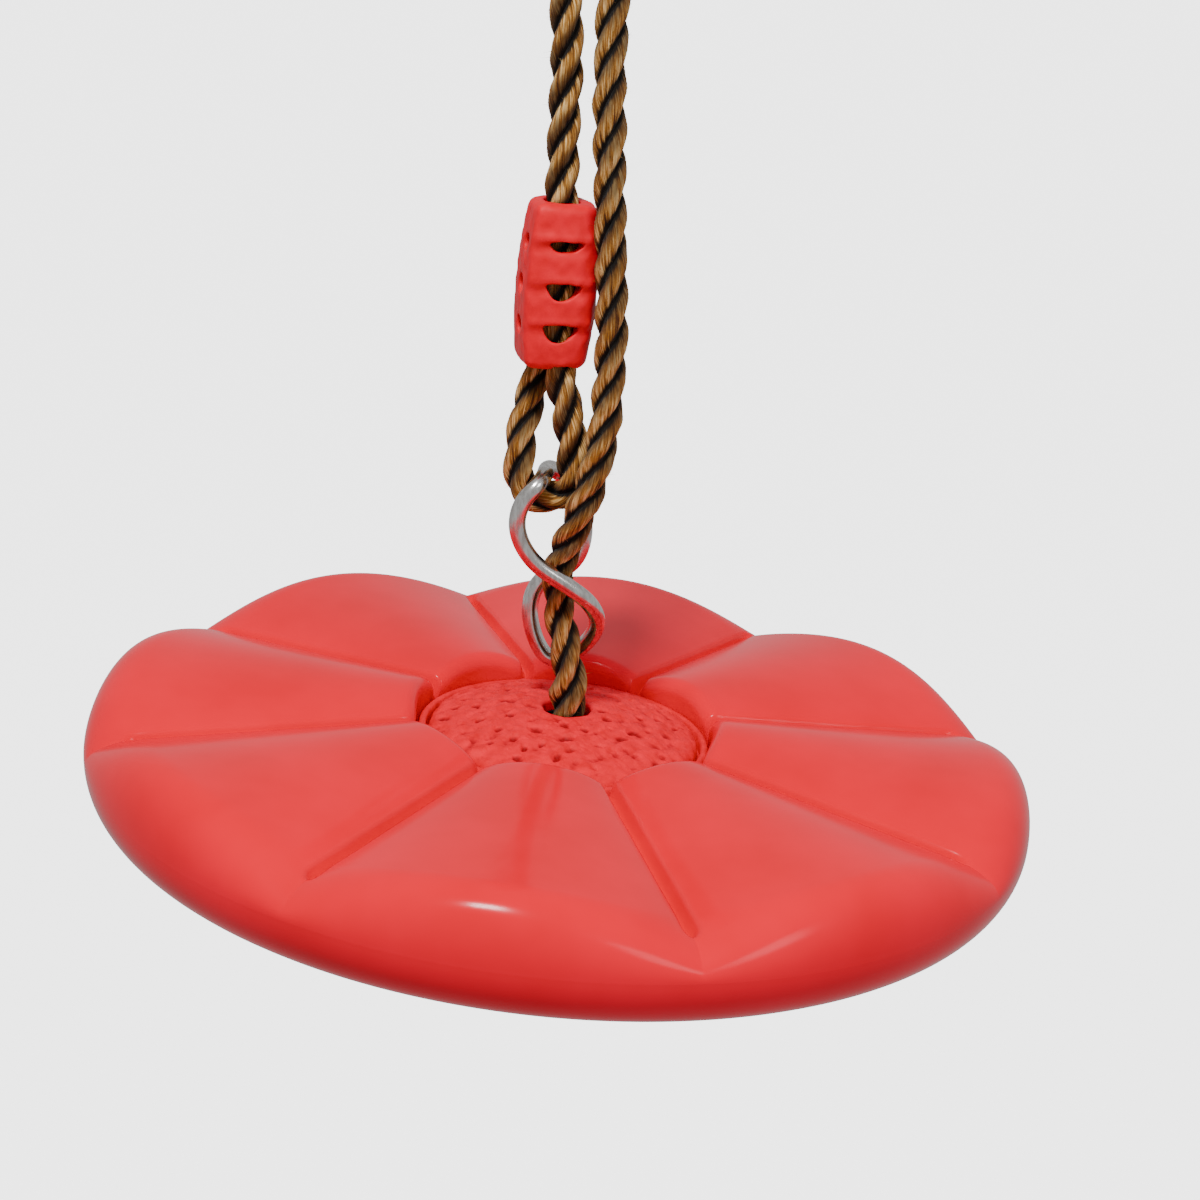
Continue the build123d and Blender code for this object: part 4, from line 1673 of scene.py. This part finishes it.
@dataclass
class Studio:
    """The camera, the pale floor and the soft lights."""

    eye: Point = (3.05, -676.8, -39.4)
    look_down: float = 18.4
    lens: float = 71.7
    floor_height: float = -2000.0
    room_reach: float = 9000.0
    room_bend: float = 4000.0
    room_height: float = 16000.0
    room_steps: int = 96

    def camera(self) -> None:
        """Place the camera."""
        data = bpy.data.cameras.new("studio_camera")
        data.lens, data.sensor_width = self.lens, 36.0
        data.clip_start, data.clip_end = 0.01, 60.0
        camera = bpy.data.objects.new("studio_camera", data)
        camera.location = Vector(self.eye) * MM
        camera.rotation_euler = (math.radians(90 - self.look_down), 0.0, 0.0)
        bpy.context.scene.collection.objects.link(camera)
        bpy.context.scene.camera = camera

    def floor(self, material: bpy.types.Material) -> None:
        """Lay the floor and sweep it up, far away, into a wall all round.

        The paper is seen, but the room's even light passes it, so that it throws no colour on
        the swing.

        Args:
            material: The paper's finish.
        """
        bend = [
            (
                self.room_reach + self.room_bend * math.sin(angle),
                self.floor_height + self.room_bend * (1 - math.cos(angle)),
            )
            for angle in np.linspace(0, math.pi / 2, 13)
        ]
        outline = [(1.0, self.floor_height), *bend, (bend[-1][0], self.room_height)]
        points = level_rings(outline, self.room_steps)
        faces = [*ring_faces(len(outline), self.room_steps), list(range(self.room_steps))]
        mesh = bpy.data.meshes.new("paper_floor")
        mesh.from_pydata((points * MM).tolist(), [], faces)
        paper = make_object("paper_floor", mesh, material)
        paper.visible_diffuse = False
        paper.visible_glossy = False

    def light(
        self, name: str, place: Point, aim: Point, size: tuple[float, float], power: float
    ) -> None:
        """Hang one rectangular soft light.

        Args:
            name: The light's name.
            place: Where it is, in metres.
            aim: What it points at, in metres.
            size: Its width and height in metres.
            power: Its power in watts.
        """
        data = bpy.data.lights.new(name, "AREA")
        data.shape, data.size, data.size_y, data.energy = "RECTANGLE", size[0], size[1], power
        lamp = bpy.data.objects.new(name, data)
        lamp.location = place
        lamp.rotation_euler = (Vector(aim) - Vector(place)).to_track_quat("-Z", "Y").to_euler()
        bpy.context.scene.collection.objects.link(lamp)

    def lights(self) -> None:
        """Hang the lights and set the room's even white."""
        world = bpy.data.worlds.new("white_room")
        world.use_nodes = True
        world.node_tree.nodes["Background"].inputs["Color"].default_value = linear("FFFFFF")
        world.node_tree.nodes["Background"].inputs["Strength"].default_value = 0.5
        bpy.context.scene.world = world
        self.light("key_softbox", (-0.2, -0.95, 1.5), (0, 0, -0.3), (0.34, 0.26), 46.0)
        self.light("fill_softbox", (1.1, -1.1, 0.7), (0, 0, -0.3), (0.5, 0.5), 6.0)


def dress_frame_parts() -> list[bpy.types.Object]:
    """Give the CAD nodes that stay in view their finishes.

    Returns:
        The dressed nodes.
    """
    zinc = bpy.data.materials[WIRE_ZINC.name]
    chosen = {
        "hook_body": zinc,
        "gate_pin": zinc,
        "hook_gate": zinc,
        "gate_plunger": zinc,
        "load_washer": zinc,
        "gate_spring": SPRING_BRIGHT.material(),
        "rope_bush": BUSH_BLACK.material(),
        "rope_tip": SEALED_BROWN.material(),
    }
    for name, material in chosen.items():
        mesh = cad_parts[name].data
        mesh.materials.clear()
        mesh.materials.append(material)
    return [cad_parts[name] for name in chosen]


def main() -> None:
    """Build the swing piece by piece."""
    logging.basicConfig(level=logging.INFO, format="%(name)s: %(message)s")
    studio = Studio()
    studio.camera()
    rope = Rope()
    hemp = HempFibre().material()
    for piece in rope.build(hemp):
        LOG.info("rope piece %s, %d faces", piece.name, len(piece.data.polygons))
    red = SEAT_RED.material()
    seat = PetalSeat()
    zinc = WIRE_ZINC.material()
    made = [
        seat.petal_shell(red),
        seat.base_shell(red),
        CentreDome().build(DOME_RED.material()),
        RopeClamp().build(rope.route, CLAMP_RED.material()),
        AdjusterRing().build(rope.route, zinc),
        *dress_frame_parts(),
    ]
    for piece in made:
        LOG.info("piece %s, %d faces", piece.name, len(piece.data.polygons))
    studio.floor(StudioPaper().material())
    studio.lights()


if __name__ == "__main__":
    main()
